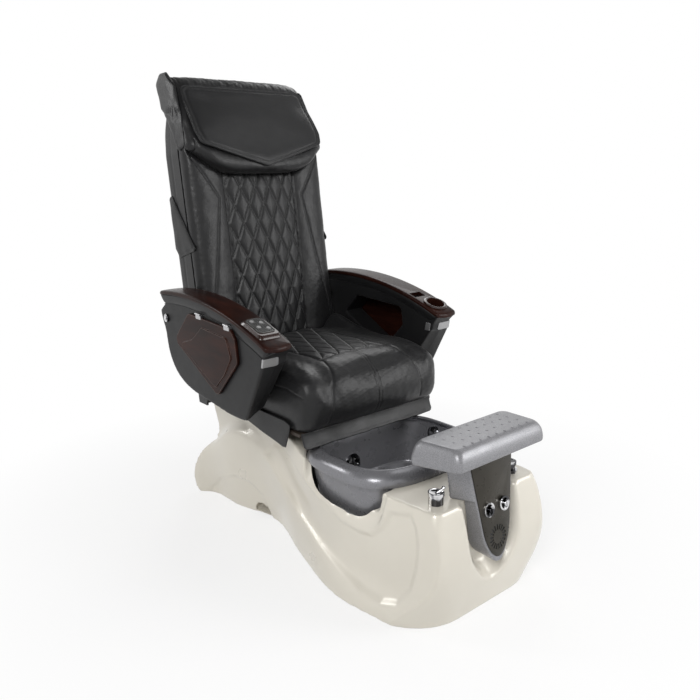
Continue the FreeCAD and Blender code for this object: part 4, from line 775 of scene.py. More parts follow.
def makeBase():
    # the CAD's openings are closed, an even skin is drawn round it, and the closings are taken out again
    shell = cadMesh("base_shell")
    shellTree = treeOf(shell)

    def outer(y, z):
        hit = shellTree.ray_cast(Vector(chair(900, y, z)), Vector((-1, 0, 0)), 0.895)[0]
        return hit.x * 1000 if hit is not None else 0.0

    alongY = np.array([y for y in np.linspace(-477, 681, 100) if not 326 < y < 414])
    halves = np.array([outer(y, 2.5) for y in alongY]) - 3
    foot = np.concatenate([np.stack([halves, alongY], -1), np.stack([-halves, alongY], -1)[::-1]])
    closings = [
        prismMesh(foot, 0.4, 6),
        ringMesh([superRing(0, 200, 4.4, 2.5), superRing(0, 331.5, 4.4, 2.5)], True, True),
        disc(157, -422, 15, 327.5, 332.6), disc(-157, -422, 15, 327.5, 332.6),
    ]
    lean = math.degrees(math.atan2(62, 379 - 228))
    inletY = 655 - 62 * (379 - 320) / (379 - 228)
    box = [(x, y, z) for z in (-16, 16) for x, y in ((-26, -5), (26, -5), (26, -1), (-26, -1))]
    closings.append(hexMesh([leaning(90 + x, y, z, inletY, 320, lean) for x, y, z in box]))
    closings += recessFillers(shellTree)
    # backing behind the rear wall's fold
    fold = np.array(baseLook["fold"], float)
    half = outer(600, 222) - 3
    closings.append(ringMesh([chair(x, fold[:, 0], fold[:, 1]) for x in (-half, half)], True, True))
    # and where the side walls are thin
    for side, (_, y, z) in [(side, spot) for side in (-1, 1) for spot in baseLook["thin"]]:
        around = [(y - 20, z - 20), (y + 20, z - 20), (y + 20, z + 20), (y - 20, z + 20)]
        corners = [chair(side * (outer(*at) - drop), *at) for drop in (13, 2.5) for at in around]
        closings.append(hexMesh(corners))
    # a dark pocket in place of each arch through the skirt: its back, two sides and top
    front, rear, wall, deep, tall = (baseLook["pocket"][key]
                                     for key in ("front", "rear", "wall", "deep", "tall"))
    reach = {z: np.array([outer(y, z) for y in (front, rear)]) for z in (1.5, tall)}

    def inward(y, z, depth):
        middle = [np.interp(y, (front, rear), reach[level]) for level in (1.5, tall)]
        return np.interp(z, (0.5, tall), middle) - depth

    walls = (((front + 4, rear - 4), (0.5, tall), deep - 8), ((front, front + wall), (0.5, tall), 3),
             ((rear - wall, rear), (0.5, tall), 3), ((front, rear), (tall - 7, tall), 3))
    for side in (-1, 1):
        for ys, zs, near in walls:
            around = [(ys[0], deep), (ys[0], near), (ys[1], near), (ys[1], deep)]
            corners = [chair(side * inward(y, z, depth), y, z) for z in zs for y, depth in around]
            closings.append(hexMesh(corners))
    points, faces = outermost(*remeshed(joinedMesh([shell] + closings), baseLook["voxel"]))
    x, y, z = inChair(points[faces].mean(1))
    under = (z < 2.5) & (unit(faceNormals(points, faces))[:, 2] < -0.6)
    throat = np.abs(x / 236) ** 4.4 + np.abs((y + 108) / 182) ** 4.4 < 1
    inThroat = throat & (z > 190) & (z < 333.4) & (y < 62)
    points, faces = kept(points, faces, ~(under | inThroat))
    points = onRims(points, faces)
    points = relaxed(rimSmoothed(points, faces, 6), faces, baseLook["rounds"])
    points = onRims(points, faces)
    x, y, z = inChair(points)
    gaps = [np.hypot(np.hypot(np.abs(x) - sx, y - sy), z - sz) for sx, sy, sz in baseLook["thin"]]
    spot = np.min(gaps, axis=0)
    share = smoothStep(-spot, -44, -24)[:, None]
    points = points * (1 - share) + relaxed(points, faces, 40) * share
    normals = pointNormals(points, faces)
    x, y, z = inChair(points)
    side = smoothStep(np.abs(normals[:, 0]), 0.3, 0.6)
    shift = sum(side * pressed(y, z, baseLook[part], baseLook[part + "Depth"], baseLook[part + "Edge"])
                for part in ("panel", "foot"))
    points[:, 0] += np.sign(x) * shift * 0.001
    low = rim(points, faces) & (z < 9) & ~((np.abs(x) < 200) & (y > 330) & (y < 410))
    points[low, 2] = 0.0004
    return addPiece("pearlBase", meshFrom(points, faces), "base", "pearl_shell", ["base_shell"], crease=60)


makeBase()
print("base made")

# ---- basin and its fittings

basinLook = {
    # shrink, height and outline power, up the outside, over the rim and down the inside
    "outside": [(62, 188, 4.4), (48, 192, 4.4), (32, 204, 4.4), (20, 225, 4.4), (10, 279, 4.4),
                (0.5, 331, 4.0)],
    "rim": [(-22, 333.6, 3.2), (-23, 338, 3.2), (-23, 345, 3.2), (-20.5, 353.5, 3.2), (-17, 360, 3.2),
            (-10.5, 367.5, 3.2), (-3, 373, 3.2), (3, 376.3, 3.2), (7, 377, 3.2), (11, 376, 3.2),
            (13.5, 373, 3.25)],
    "inside": [(10, 366, 3.5), (4, 359, 4.0), (10, 331, 4.4), (25, 231, 4.4), (30, 217, 4.4), (38, 209, 4.4),
               (54, 198, 4.4), (68, 194, 4.4)],
    "rows": (26, 30, 40), "around": 240,
}


def boreTool(start, end, radius, count=48):
    # a closed cylinder between two points
    start, end = np.asarray(start, float), np.asarray(end, float)
    axis = (end - start) / np.linalg.norm(end - start)
    side = np.cross(axis, [0.0, 0.0, 1.0] if abs(axis[2]) < 0.9 else [1.0, 0.0, 0.0])
    side /= np.linalg.norm(side)
    up = np.cross(axis, side)
    a = circle(count)[:, None]
    ring = (side * np.cos(a) + up * np.sin(a)) * radius * 0.001
    return ringMesh([start + ring, end + ring], True, True)


def makeBasin():
    # outlines carried up the outside, over the rolled rim, down the inside and in to a dished floor
    look = basinLook
    parts = [eased(look[key], rows) for key, rows in zip(("outside", "rim", "inside"), look["rows"])]
    rings = [superRing(s, z, p, count=look["around"]) for s, z, p in np.concatenate(parts)]
    middle = chair(0, -108, 0)
    under, floor = rings[0], rings[-1]
    start = [middle * [1, 1, 0] + (under - middle) * [t, t, 1] for t in (0.02, 0.3, 0.6, 0.85)]
    drain = chair(0, -150, 0)
    end = [np.stack([*(drain * (1 - t) + floor * t).T[:2], floor[:, 2] - 0.0012 * (1 - t)], -1)
           for t in np.linspace(1, 0.0, 16)[1:]]
    mesh = ringMesh(np.array(start + rings + end), True, False)
    lean = math.degrees(math.atan2(20, 108))
    jetY = -108 + 178 - 6 - 20 * (333 - 261) / 108
    jet = boreTool(leaning(-28, -20, 0, jetY, 261, lean), leaning(-28, 25, 0, jetY, 261, lean), 22.2)
    drainHole = boreTool(chair(0, -150, 170), chair(0, -150, 210), 20)
    return addPiece("greyBasin", bored(mesh, [jet, drainHole]), "base", "basin_grey", ["basin"], crease=35)


makeBasin()
for name, node, bevel in (
    ("chromeJetRing", "rear_jet_ring", 0.8), ("chromeDrain", "drain_fitting", 0.5),
    ("chromeSpout", "fill_spout", 0.7), ("chromeDiverterBody", "diverter_body", 0.9),
    ("chromeDiverterCap", "diverter_handle", 0.8), ("chromeSprayCollar", "spray_collar", 0.8),
    ("chromeSprayHead", "spray_head", 0.8), ("chromeHotValve", "hot_handle", 0.6),
    ("chromeColdValve", "cold_handle", 0.6), ("chromeArmPivots", "arm_pivots", 0.7),
):
    crisp(name, node, "chrome", bevel)
print("basin and fittings made")

# ---- console and footrest

footrestLook = {
    # share of the height, half widths at the front and the rear, how far each end is drawn in
    "sides": [(0.0, 174, 194, 7, 8), (0.06, 179, 201, 1, 1), (0.3, 180, 201.5, 1, 0), (0.6, 178, 196, 5, 2),
              (0.8, 174, 190, 11, 4.5), (0.93, 169, 183, 18, 9), (0.985, 165, 177.5, 24, 12.5),
              (1.0, 160, 172, 29, 17)],
    "front": -518, "rear": -358, "low": 450, "tall": 58, "tilt": 16, "corner": 20, "crown": 1.6,
    "dots": (9, 4), "dotRadius": 4.4, "dotHeight": 1.5,
}


def footrestTop(y, share=1.0):
    # height of the pad's slanted surface at this share of its thickness
    look = footrestLook
    slant = look["tilt"] * (y - look["front"]) / (look["rear"] - look["front"]) * (1 - share * 0.55)
    return look["low"] - slant + look["tall"] * share


def makeFootrest():
    # rounded outlines stacked up the pad's height, drawn in over the top and the underside
    look = footrestLook
    rings = []
    for share, frontHalf, rearHalf, frontIn, rearIn in eased(look["sides"], 30):
        y0, y1 = look["front"] + frontIn, look["rear"] - rearIn
        loop = roundedLoop([(-frontHalf, y0), (frontHalf, y0), (rearHalf, y1), (-rearHalf, y1)],
                           look["corner"], 10, 14)
        rings.append(chair(loop[:, 0], loop[:, 1], footrestTop(loop[:, 1], share)))
    top, low = rings[-1], rings[0]
    centre = chair(0, -440, 0)

    def drawnIn(ring, t, lift, share):
        flat = centre + (ring - centre) * (1 - t)
        y = flat[:, 1] * 1000 - chairPlace["armFront"]
        flat[:, 2] = (footrestTop(y, share) + lift) * 0.001
        return flat

    under = [drawnIn(low, t, 0, 0) for t in (1.0, 0.8, 0.6, 0.4, 0.2, 0.08)]
    over = [drawnIn(top, t, look["crown"] * (1 - (1 - t) ** 3) + 0.001, 1)
            for t in (0.04, 0.12, 0.25, 0.4, 0.6, 0.8, 1.0)]
    mesh = ringMesh(np.array(under + rings + over))
    socket = boreTool(chair(0, -450, 440), chair(0, -450, 495), 13.05)
    addPiece("footrestPad", bored(mesh, [socket]), "footrest", "footrest_grey", ["footrest_pad"], crease=40)

    across, deep = look["dots"]
    x, y = (grid.ravel() for grid in np.meshgrid(np.linspace(-132, 132, across),
                                                 np.linspace(-488, -388, deep)))
    a = circle(14)
    radius = np.array([1.0, 0.96, 0.82, 0.6, 0.3, 0.02]) * look["dotRadius"]
    height = np.array([-0.3, 0.25, 0.62, 0.86, 0.98, 1.0]) * look["dotHeight"]
    px = x[:, None, None] + radius[None, :, None] * np.cos(a)[None, None]
    py = y[:, None, None] + radius[None, :, None] * np.sin(a)[None, None]
    t = 1 - np.maximum(np.abs(px) / 160, np.abs(py + 440) / 62)
    pz = footrestTop(py) + look["crown"] * (1 - (1 - np.clip(t, 0, 1)) ** 3) + height[None, :, None]
    one = gridFaces(6, 14, True)
    faces = (one[None] + (np.arange(len(x)) * 84)[:, None, None]).reshape(-1, 4)
    ends = [np.arange(14) + k * 84 + 70 for k in range(len(x))]
    dots = outward(meshFrom(chair(px, py, pz).reshape(-1, 3), faces, ends), 1e-8)
    addPiece("footrestDots", dots, "footrest", "footrest_grey", crease=50)


makeFootrest()

consoleLook = {"bend": -60, "plateFoot": -141, "bodyFoot": -157, "ventAt": -86, "vent": (18.5, 34.5),
               "slots": 18, "valves": 32}


def plateHalf(z, foot, grow=0.0):
    # the plate narrows evenly and ends in a rounded foot
    below = np.clip((consoleLook["bend"] - z) / (consoleLook["bend"] - foot), 0, 1)
    return (64 + 0.163 * z + grow) * np.sqrt(1 - below ** 2)


def makePedestal():
    # the CAD body under an even skin, with its lower end drawn in to the plate's rounded foot
    points, faces = remeshed(cadMesh("footrest_pedestal"), 2.6)
    x, y, z = inLeaning(points, "console")
    t = np.clip((y - 3) / (41 - 0.158 * z), 0, 1)

    def archHalf(z, halfTop, top, halfLow, low, foot):
        radius = (halfLow ** 2 + (low - foot) ** 2) / (2 * (low - foot))
        arc = np.sqrt(np.clip(radius ** 2 - (z - foot - radius) ** 2, 1, None))
        return np.where(z > low, halfLow + (halfTop - halfLow) * (z - low) / (top - low), arc)

    old = archHalf(z, 90, 138, 53, -83, -163) * (1 - t) + archHalf(z, 108, 150, 57, -91, -154) * t
    lower = np.where(z < -60, -60 + (z + 60) * 0.94, z)
    near, far = (plateHalf(lower, consoleLook["bodyFoot"] + more, grow) for more, grow in ((0, 4), (3, 12)))
    new = near * (1 - t) + far * t
    share = np.clip(new / old, 0, 1.02)
    share = 1 + (share - 1) * smoothStep(-z, 10, 60)
    points = relaxed(onConsole(x * share, y, lower), faces, 4)
    addPiece("consolePedestal", meshFrom(points, faces), "base", "footrest_grey", ["footrest_pedestal"],
             crease=60)


def makePlate():
    # the dark plate with two stem holes and a ring of slots
    look = consoleLook
    z = np.concatenate([np.linspace(138, -60, 40), -60 + 81 * -np.sin(np.linspace(0, math.pi / 2, 24)[1:])])
    half = plateHalf(z, look["plateFoot"])
    half[-1] = 0.4
    loop = np.concatenate([np.stack([-half, z], -1), np.stack([half, z], -1)[::-1]])
    rings = [onConsole(shape[:, 0], y, shape[:, 1]) for shape, y in
             ((loop, 3), (loop, 0.5), (insetLoop(loop, 0.2), 0.15), (insetLoop(loop, 0.6), 0))]
    tools = [boreTool(onConsole(side * look["valves"], -6, 0), onConsole(side * look["valves"], 8, 0), 6.4)
             for side in (-1, 1)]
    inner, outer = look["vent"]
    for k in range(look["slots"]):
        a = 2 * math.pi * k / look["slots"]
        slot = roundedLoop([(-2.1, inner), (2.1, inner), (3.5, outer), (-3.5, outer)], 1.9, 5, 3)
        u = slot[:, 0] * math.cos(a) + slot[:, 1] * math.sin(a)
        v = -slot[:, 0] * math.sin(a) + slot[:, 1] * math.cos(a) + look["ventAt"]
        tools.append(ringMesh([onConsole(u, y, v) for y in (-4, 6)], True, True))
    plate = bored(ringMesh(rings, True, True), tools)
    addPiece("consolePlate", plate, "base", "plate_dark", ["control_plate"], crease=25)


def makeVentShadeDisc():
    # a near-black disc behind the plate's slots: painted shade for the dark inside of the vent
    a = circle(48)
    rings = [onConsole(r * np.cos(a), y, r * np.sin(a) + consoleLook["ventAt"])
             for r, y in ((0.01, 2.0), (36, 2.0), (36, 3.2), (0.01, 3.2))]
    addPiece("ventShadeDisc", ringMesh(rings), "base", "black_plastic", finish="rubber")


makePedestal()
makePlate()
makeVentShadeDisc()
print("console and footrest made")

# ---- soft pieces: blown up by cloth simulation between their seams, then quilted and seamed

softLook = {
    "voxel": 5.6, "frames": 20,
    "cloth": {"quality": 4, "mass": 0.3, "tension_stiffness": 15, "compression_stiffness": 15,
              "shear_stiffness": 5, "bending_stiffness": 0.5, "use_pressure": True,
              "uniform_pressure_force": 4.0, "vertex_group_mass": "seams", "pin_stiffness": 1.0},
}


def inflated(jobs):
    # each job is (points, faces, pinned, limit): pinned points stay, the others swell by up to limit mm
    helpers = []
    for number, (points, faces, pinned, limit) in enumerate(jobs):
        helper = bpy.data.objects.new("blown%d" % number, meshFrom(points, faces))
        scene.collection.objects.link(helper)
        group = helper.vertex_groups.new(name="seams")
        group.add(np.flatnonzero(pinned).tolist(), 1.0, "REPLACE")
        cloth = helper.modifiers.new("cloth", "CLOTH")
        for key, value in softLook["cloth"].items():
            setattr(cloth.settings, key, value)
        cloth.settings.effector_weights.gravity = 0
        cloth.collision_settings.use_collision = False
        cloth.point_cache.frame_start, cloth.point_cache.frame_end = 1, softLook["frames"]
        helpers.append(helper)
    for number in range(1, softLook["frames"] + 1):
        scene.frame_set(number)
    results = []
    depsgraph = bpy.context.evaluated_depsgraph_get()
    for helper, (points, faces, pinned, limit) in zip(helpers, jobs):
        blown = np.empty(len(points) * 3, np.float32)
        helper.evaluated_get(depsgraph).data.vertices.foreach_get("co", blown)
        moved = blown.reshape(-1, 3) - points
        size = np.maximum(np.linalg.norm(moved, axis=1), 1e-9)
        cap = np.maximum(np.asarray(limit, float) * 0.001, 1e-6)
        results.append(relaxed(points + moved * (cap * np.tanh(size / cap) / size)[:, None], faces, 5))
        bpy.data.objects.remove(helper)
    scene.frame_set(1)
    return results


seatLook = {
    "panel": 142, "panelFront": 78, "panelRear": 470,           # the quilted middle, mm
    "diamond": (64, 128, 74), "puff": 3.0,                      # width, length, phase, height of a diamond
    "seams": [  # sewn lines seen from above: points (x, y), depth, width
        ([(-142, 480), (-142, 78)], 4.0, 3.2), ([(142, 480), (142, 78)], 4.0, 3.2),
        ([(-142, 78), (-70, 84), (0, 86), (70, 84), (142, 78)], 2.4, 3.0),
    ],
    "frontSeams": [  # seen from the front: points (x, z), depth, width
        ([(-5, 640), (-6, 432)], 1.8, 2.2), ([(6, 640), (7, 432)], 1.8, 2.2),
        ([(-142, 622), (-176, 560), (-196, 432)], 2.6, 3.2), ([(142, 622), (176, 560), (196, 432)], 2.6, 3.2),
    ],
    "sideSeams": [([(-30, 540), (60, 556), (240, 548), (470, 566)], 2.6, 3.0)],  # seen from the side: (y, z)
    "swell": 9,
}

backLook = {
    "panel": 142, "panelTop": 600,
    "diamond": (56.8, 119, -19), "puff": 6.0,
    "seams": [  # seen from the front: points (x, z) up the back
        ([(-142, 600), (-142, -30)], 7.0, 4.0), ([(142, 600), (142, -30)], 7.0, 4.0),
        ([(-256, 640), (-256, 611), (-169, 483), (-209, 264), (-256, 40), (-262, -38)], 3.4, 3.2),
        ([(256, 640), (256, 611), (169, 483), (209, 264), (256, 40), (262, -38)], 3.4, 3.2),
    ],
    "swell": 8,
}


def diamondHeight(u, v, width, length, phase, puff):
    # pillows between two families of slanting lines: the height falls off exponentially towards each line
    a, b = u / width + (v - phase) / length, u / width - (v - phase) / length
    spacing = 1 / math.hypot(1 / width, 1 / length)
    near = np.minimum(np.abs(a - np.round(a)), np.abs(b - np.round(b))) * spacing
    return puff * (1 - np.exp(-near / 6.5)) - puff * 0.62 - 1.1 * np.exp(-(near / 1.9) ** 2)


def seamDepth(u, v, seams):
    # how far the surface is drawn in at each point by a list of sewn lines
    total = np.zeros(np.shape(u))
    for path, depth, width in seams:
        total = np.maximum(total, depth * np.exp(-(lineDistance(u, v, path) / width) ** 1.4))
    return total


def diamondPaths(width, length, phase, uLimit, vLow, vHigh, step=4.0):
    # the quilting's thread lines as (u, v) paths clipped to the panel
    paths = []
    for sign in (-1, 1):
        reach = int(uLimit / width + (vHigh - vLow) / length) + 3
        for k in range(-reach, reach + 1):
            v = np.arange(vLow, vHigh, step)
            u = width * (k + sign * (v - phase) / length)
            inside = np.abs(u) < uLimit
            if inside.sum() > 3:
                paths.append((u[inside], v[inside]))
    return paths


def spaced(path, start=0, end=0, step=4.0):
    # points at even steps along a path, between these lengths from its two ends
    path = np.array(path, float)
    run = np.r_[0, np.cumsum(np.hypot(*np.diff(path, axis=0).T))]
    s = np.arange(start, run[-1] - end, step)
    return np.interp(s, run, path[:, 0]), np.interp(s, run, path[:, 1])


def seatStart():
    points, faces = remeshed(cadMesh("seat_cushion"), softLook["voxel"])
    x, y, z = inChair(points)
    pinned = (z < 440) | (y > 462)
    for path, _, _ in seatLook["seams"][:2]:
        pinned |= (lineDistance(x, y, path) < 4) & (z > 560)
    pinned |= (np.abs(np.abs(x) - 270) < 4) & (z > 520)
    limit = seatLook["swell"] * smoothStep(z, 432, 470) * smoothStep(-y, -474, -440)
    limit = np.where(np.abs(x) > 255, np.minimum(limit, 6), limit)
    return points, faces, pinned, limit


def backStart():
    points, faces = remeshed(cadMesh("back_cushion"), softLook["voxel"])
    x, y, z = inBack(points)
    pinned = (y > 40) | (z < -30) | (z > 690)
    for path, _, _ in backLook["seams"]:
        pinned |= (lineDistance(x, z, path) < 4) & (y < 14)
    pinned |= (np.abs(x) < 146) & (np.abs(x) > 136) & (y < 30)
    limit = backLook["swell"] * smoothStep(-y, -44, -10) * smoothStep(z, -36, 30)
    limit = np.where((np.abs(x) > 262) | (z > 552), np.minimum(limit, 1.0), limit)
    return points, faces, pinned, limit


def pillowStart():
    points, faces = remeshed(cadMesh("head_pillow"), softLook["voxel"])
    x, y, z = inBack(points)
    hidden = ((np.abs(y - 12) < 3) & (z < 700)) | ((z < 829) & (y > 40)) | ((y > 8) & (z < 705))
    flapSide = flapGap(x, y, z) < 12
    straight = np.abs(x) * (1 + pillowLook["taper"] * (z - pillowLook["from"]))
    pinned = hidden | flapSide | (np.abs(straight - 270) < 4)
    limit = np.where(hidden | flapSide, 0.0, np.where(np.abs(x) > 238, 2.5, 9.0))
    return points, faces, pinned, limit


pillowLook = {"half": 275.6, "taper": 0.00034, "from": 636}
flapLook = {"face": [(-66, 566), (-62, 600), (-46, 650), (-12, 735), (22, 800), (42, 852)], "thick": 8,
            "outline": [(-244, 846), (244, 846), (250, 690), (240, 652), (0, 577), (-240, 652), (-250, 690)],
            "corner": 22, "crown": 7.5, "curl": 9}


def flapFaceY(z, x=0.0):
    # depth of the flap's face at a height up the back; its lower corners stand forward on the pillow
    dense = eased(flapLook["face"], 80)
    curl = flapLook["curl"] * smoothStep(np.abs(x), 60, 240) * smoothStep(-z, -800, -665)
    return np.interp(z, dense[:, 1], dense[:, 0]) - curl


def flapGap(x, y, z):
    # distance behind the flap's face, where the flap's outline covers it; far elsewhere
    loop = np.array(flapLook["outline"] + flapLook["outline"][:1], float)
    inside = (z < 850) & (np.abs(x) < 246) & (z > 577 + np.abs(x) * 75 / 240)
    return np.where(inside | (lineDistance(x, z, loop) < 6), np.abs(y - flapFaceY(z) - flapLook["thick"]), 99)


starts = [seatStart(), backStart(), pillowStart()]
seatPoints, backPoints, pillowPoints = inflated(starts)
print("cushions blown up")


def makeSeatCushion():
    points, faces = halved(seatPoints, starts[0][1])
    normals = pointNormals(points, faces)
    x, y, z = inChair(points)
    look = seatLook
    up, front, side = normals[:, 2], -normals[:, 1], np.abs(normals[:, 0])
    inPanel = smoothStep(look["panel"] - np.abs(x), 0, 5)
    inPanel *= smoothStep(y, look["panelFront"] + 2, look["panelFront"] + 8)
    inPanel *= smoothStep(up, 0.45, 0.7)
    shift = inPanel * diamondHeight(x, y, *look["diamond"], look["puff"])
    shift -= smoothStep(up, 0.3, 0.55) * seamDepth(x, y, look["seams"])
    facing = smoothStep(front + up * 0.75, 0.35, 0.6) * smoothStep(-y, -84, -76)
    shift -= facing * seamDepth(x, z, look["frontSeams"])
    shift -= smoothStep(side, 0.6, 0.85) * seamDepth(y, z, look["sideSeams"])
    edge = lineDistance(np.abs(x), z, [(272, 430), (272, 700)])
    shift -= 1.6 * np.exp(-(edge / 3.0) ** 2) * smoothStep(y, -50, 0) * smoothStep(up, 0.05, 0.4)
    waves = 0.5 * ripple(x, y + z, 90, 1.0) + 0.35 * ripple(x, y + z * 1.3, 34, 2.0)
    shift += (1 - inPanel) * waves * smoothStep(z, 440, 480)
    # the front roll's pull folds beside the centre seam
    pull = smoothStep(front, 0.3, 0.8) * np.exp(-(np.abs(np.abs(x) - 40) / 46) ** 2)
    shift += pull * 0.35 * np.sin((z + 0.35 * np.abs(x)) / 9.5)
    points = points + normals * (shift * 0.001)[:, None]
    piece = addPiece("seatCushion", meshFrom(points, faces), "seat", "black_leather", ["seat_cushion"],
                     crease=75)
    surface = treeOf(piece.data)
    down = (0, 0, -1)
    lines = diamondPaths(*look["diamond"], look["panel"] - 3, look["panelFront"] + 8, 466)
    quilt = [laidOn(surface, chair(u, v, 800), down) for u, v in lines]
    addThread("seatQuiltThread", quilt, "seat", "pale_thread", 5.6, 1.3, 0.75)
    edges = []
    for offset in (-4.5, 4.5):
        for x in (-look["panel"] + offset, look["panel"] + offset):
            edges.append(laidOn(surface, chair(x, np.arange(84, 468, 4.0), 800), down))
        edges.append(laidOn(surface, chair(offset * 2.0, -200, np.arange(445, 612, 4.0)), (0, 1, 0)))
    edges.append(laidOn(surface, chair(np.arange(-136, 137, 4.0), 73, 800), down))
    addThread("seatSeamThread", edges, "seat")


def makeBackCushion():
    points, faces = halved(backPoints, starts[1][1])
    normals = pointNormals(points, faces)
    x, y, z = inBack(points)
    look = backLook
    lean = math.radians(chairPlace["backLean"])
    front = -(normals[:, 1] * math.cos(lean) - normals[:, 2] * math.sin(lean))
    inPanel = smoothStep(look["panel"] - 2 - np.abs(x), 0, 6) * smoothStep(front, 0.4, 0.7)
    inPanel *= smoothStep(z, -34, -24)
    shift = inPanel * diamondHeight(x, z, *look["diamond"], look["puff"])
    shift -= smoothStep(front, 0.25, 0.5) * seamDepth(x, z, look["seams"])
    side = smoothStep(np.abs(normals[:, 0]), 0.6, 0.85)
    shift -= side * seamDepth(y, z, [([(0, 330), (48, 322)], 1.6, 2.6)])
    waves = 0.6 * ripple(x, z, 120, 3.0) + 0.35 * ripple(x, z, 40, 4.0)
    shift += (1 - inPanel) * smoothStep(front, 0.2, 0.5) * waves
    points = points + normals * (shift * 0.001)[:, None]
    piece = addPiece("backCushion", meshFrom(points, faces), "backrest", "black_leather", ["back_cushion"],
                     crease=75)
    surface = treeOf(piece.data)
    paths = []
    for path, _, _ in look["seams"][2:]:
        x, z = spaced(path, 40, 8)
        paths += [laidOn(surface, onBack(x + offset, -200, z), intoBack) for offset in (-4.2, 4.2)]
    paths += [laidOn(surface, onBack(x, -200, np.arange(-20, 556, 4.0)), intoBack) for x in (-149.5, 149.5)]
    addThread("backSeamThread", paths, "backrest")
    lines = diamondPaths(*look["diamond"], look["panel"] - 4, -24, 560)
    quilt = [laidOn(surface, onBack(u, -200, v), intoBack) for u, v in lines]
    # the back's quilting thread is grey as a painted highlight along the diamonds' edges
    addThread("backQuiltThread", quilt, "backrest", "painted_highlight_thread", 5, 1.6, 0.62)


def rounded(points, radius):
    # points near the pillow's upright front edges are drawn onto an arc
    x, y, z = inBack(points)
    u, v = np.abs(x) - (pillowHalf(z) - radius), radius - (y - flapFaceY(z) - 8)
    near = (u > 0) & (v > 0) & (z > 640)
    share = np.where(near, np.minimum(1, radius / np.maximum(np.hypot(u, v), 1e-6)), 1)
    return onBack(np.where(near, np.sign(x) * (pillowHalf(z) - radius + u * share), x),
                  np.where(near, y + v * (1 - share), y), z)


def makePillow():
    points, faces = halved(pillowPoints, starts[2][1])
    normals = pointNormals(points, faces)
    x, y, z = inBack(points)
    straight = np.abs(x) * (1 + pillowLook["taper"] * (z - pillowLook["from"]))
    shift = -2.6 * np.exp(-(np.abs(straight - 252) / 3.2) ** 1.5) * smoothStep(-y, -130, -110)
    top = smoothStep(z, 780, 860)
    shift += top * (0.8 * ripple(x, y, 90, 5.0) + 0.45 * ripple(x * 1.6, y, 36, 6.0))
    shift += (1 - top) * 0.5 * ripple(x, z, 60, 7.0)
    free = np.where(((z < 829) & (y > 40)) | ((y > 4) & (z < 705)) | (flapGap(x, y, z) < 10), 0.0, 1.0)
    points = points + normals * (shift * free * 0.001)[:, None]
    # its upright front edges are rounded off
    points = rounded(points, 30)
    # the rear upper corner at the sitter's right stands up like an ear
    ear = smoothStep(np.abs(x), 205, 266) * smoothStep(z, 770, 868) * np.where(x < 0, 1.0, 0.1)
    points += (onBack(0, 1, 1.0) - onBack(0, 0, 0)) * (7 * ear)[:, None]
    piece = addPiece("headPillow", meshFrom(points, faces), "backrest", "black_leather", ["head_pillow"],
                     crease=75)


def pillowHalf(z):
    # half width of the pillow, which narrows towards the top
    return pillowLook["half"] * (1 - pillowLook["taper"] * np.maximum(z - pillowLook["from"], 0))


wingLook = {
    # share of the way to the middle, and how far out, from the back of the wing over its edge
    "rows": [(1.0, 0.3), (0.4, 0.3), (0, 0.3), (0, 2.0), (0.006, 4.2), (0.02, 6.4), (0.045, 8.2), (0.08, 9.4),
             (0.11, 10.0), (0.16, 10.8), (0.24, 11.6), (0.34, 12.2), (0.46, 12.6), (0.6, 12.8), (0.76, 12.8),
             (0.9, 12.8), (1.0, 12.8)],
    # its outline as (y, z) on the back, without the top, which differs from side to side
    "outline": [(2, 652), (30, 638), (46, 650), (68, 700), (104, 752), (136, 790)],
    "tops": {-1: [(168, 878), (142, 903), (98, 899), (46, 850)],
             1: [(150, 850), (136, 868), (100, 868), (52, 846)]},
    "share": {-1: 1.0, 1: 0.5}, "seam": [(-60, 748), (140, 776)],
}


def makeWing(side):
    # the pillow's side, laid over the shell: inset outlines raised to a soft face, with one seam across
    loop = roundedLoop(wingLook["outline"] + wingLook["tops"][side] + [(14, 742)], 13, 7, 14)
    centre = np.array([50.0, 790.0])
    rings = []
    for t, rise in wingLook["rows"]:
        shape = loop * (1 - t) + centre * t
        gap = lineDistance(shape[:, 0], shape[:, 1], wingLook["seam"])
        seam = 3.0 * np.exp(-(gap / 3.2) ** 1.5) * (rise > 3)
        soft = 0.8 * ripple(shape[:, 0], shape[:, 1], 70, 12.0) * (rise > 8)
        lift = rise * (0.04 + 0.96 * smoothStep(shape[:, 0], 0, 80)) * wingLook["share"][side]
        rings.append(onBack(side * (pillowHalf(shape[:, 1]) + lift + soft - seam), shape[:, 0], shape[:, 1]))
    name, _, _ = sided(side, "pillowWing")
    addPiece(name, ringMesh(np.array(rings)), "backrest", "black_leather", crease=60)
    edge = insetLoop(loop, 0.4)[21:189]       # from the lower front corner round the rear to the top
    path = onBack(side * (pillowHalf(edge[:, 1]) + 2), edge[:, 0], edge[:, 1])
    out = np.tile([float(side), 0.0, 0.0], (len(path), 1))
    addPiece(name + "Piping", along(path, out, 1.9, 8), "backrest", "black_leather", crease=80)


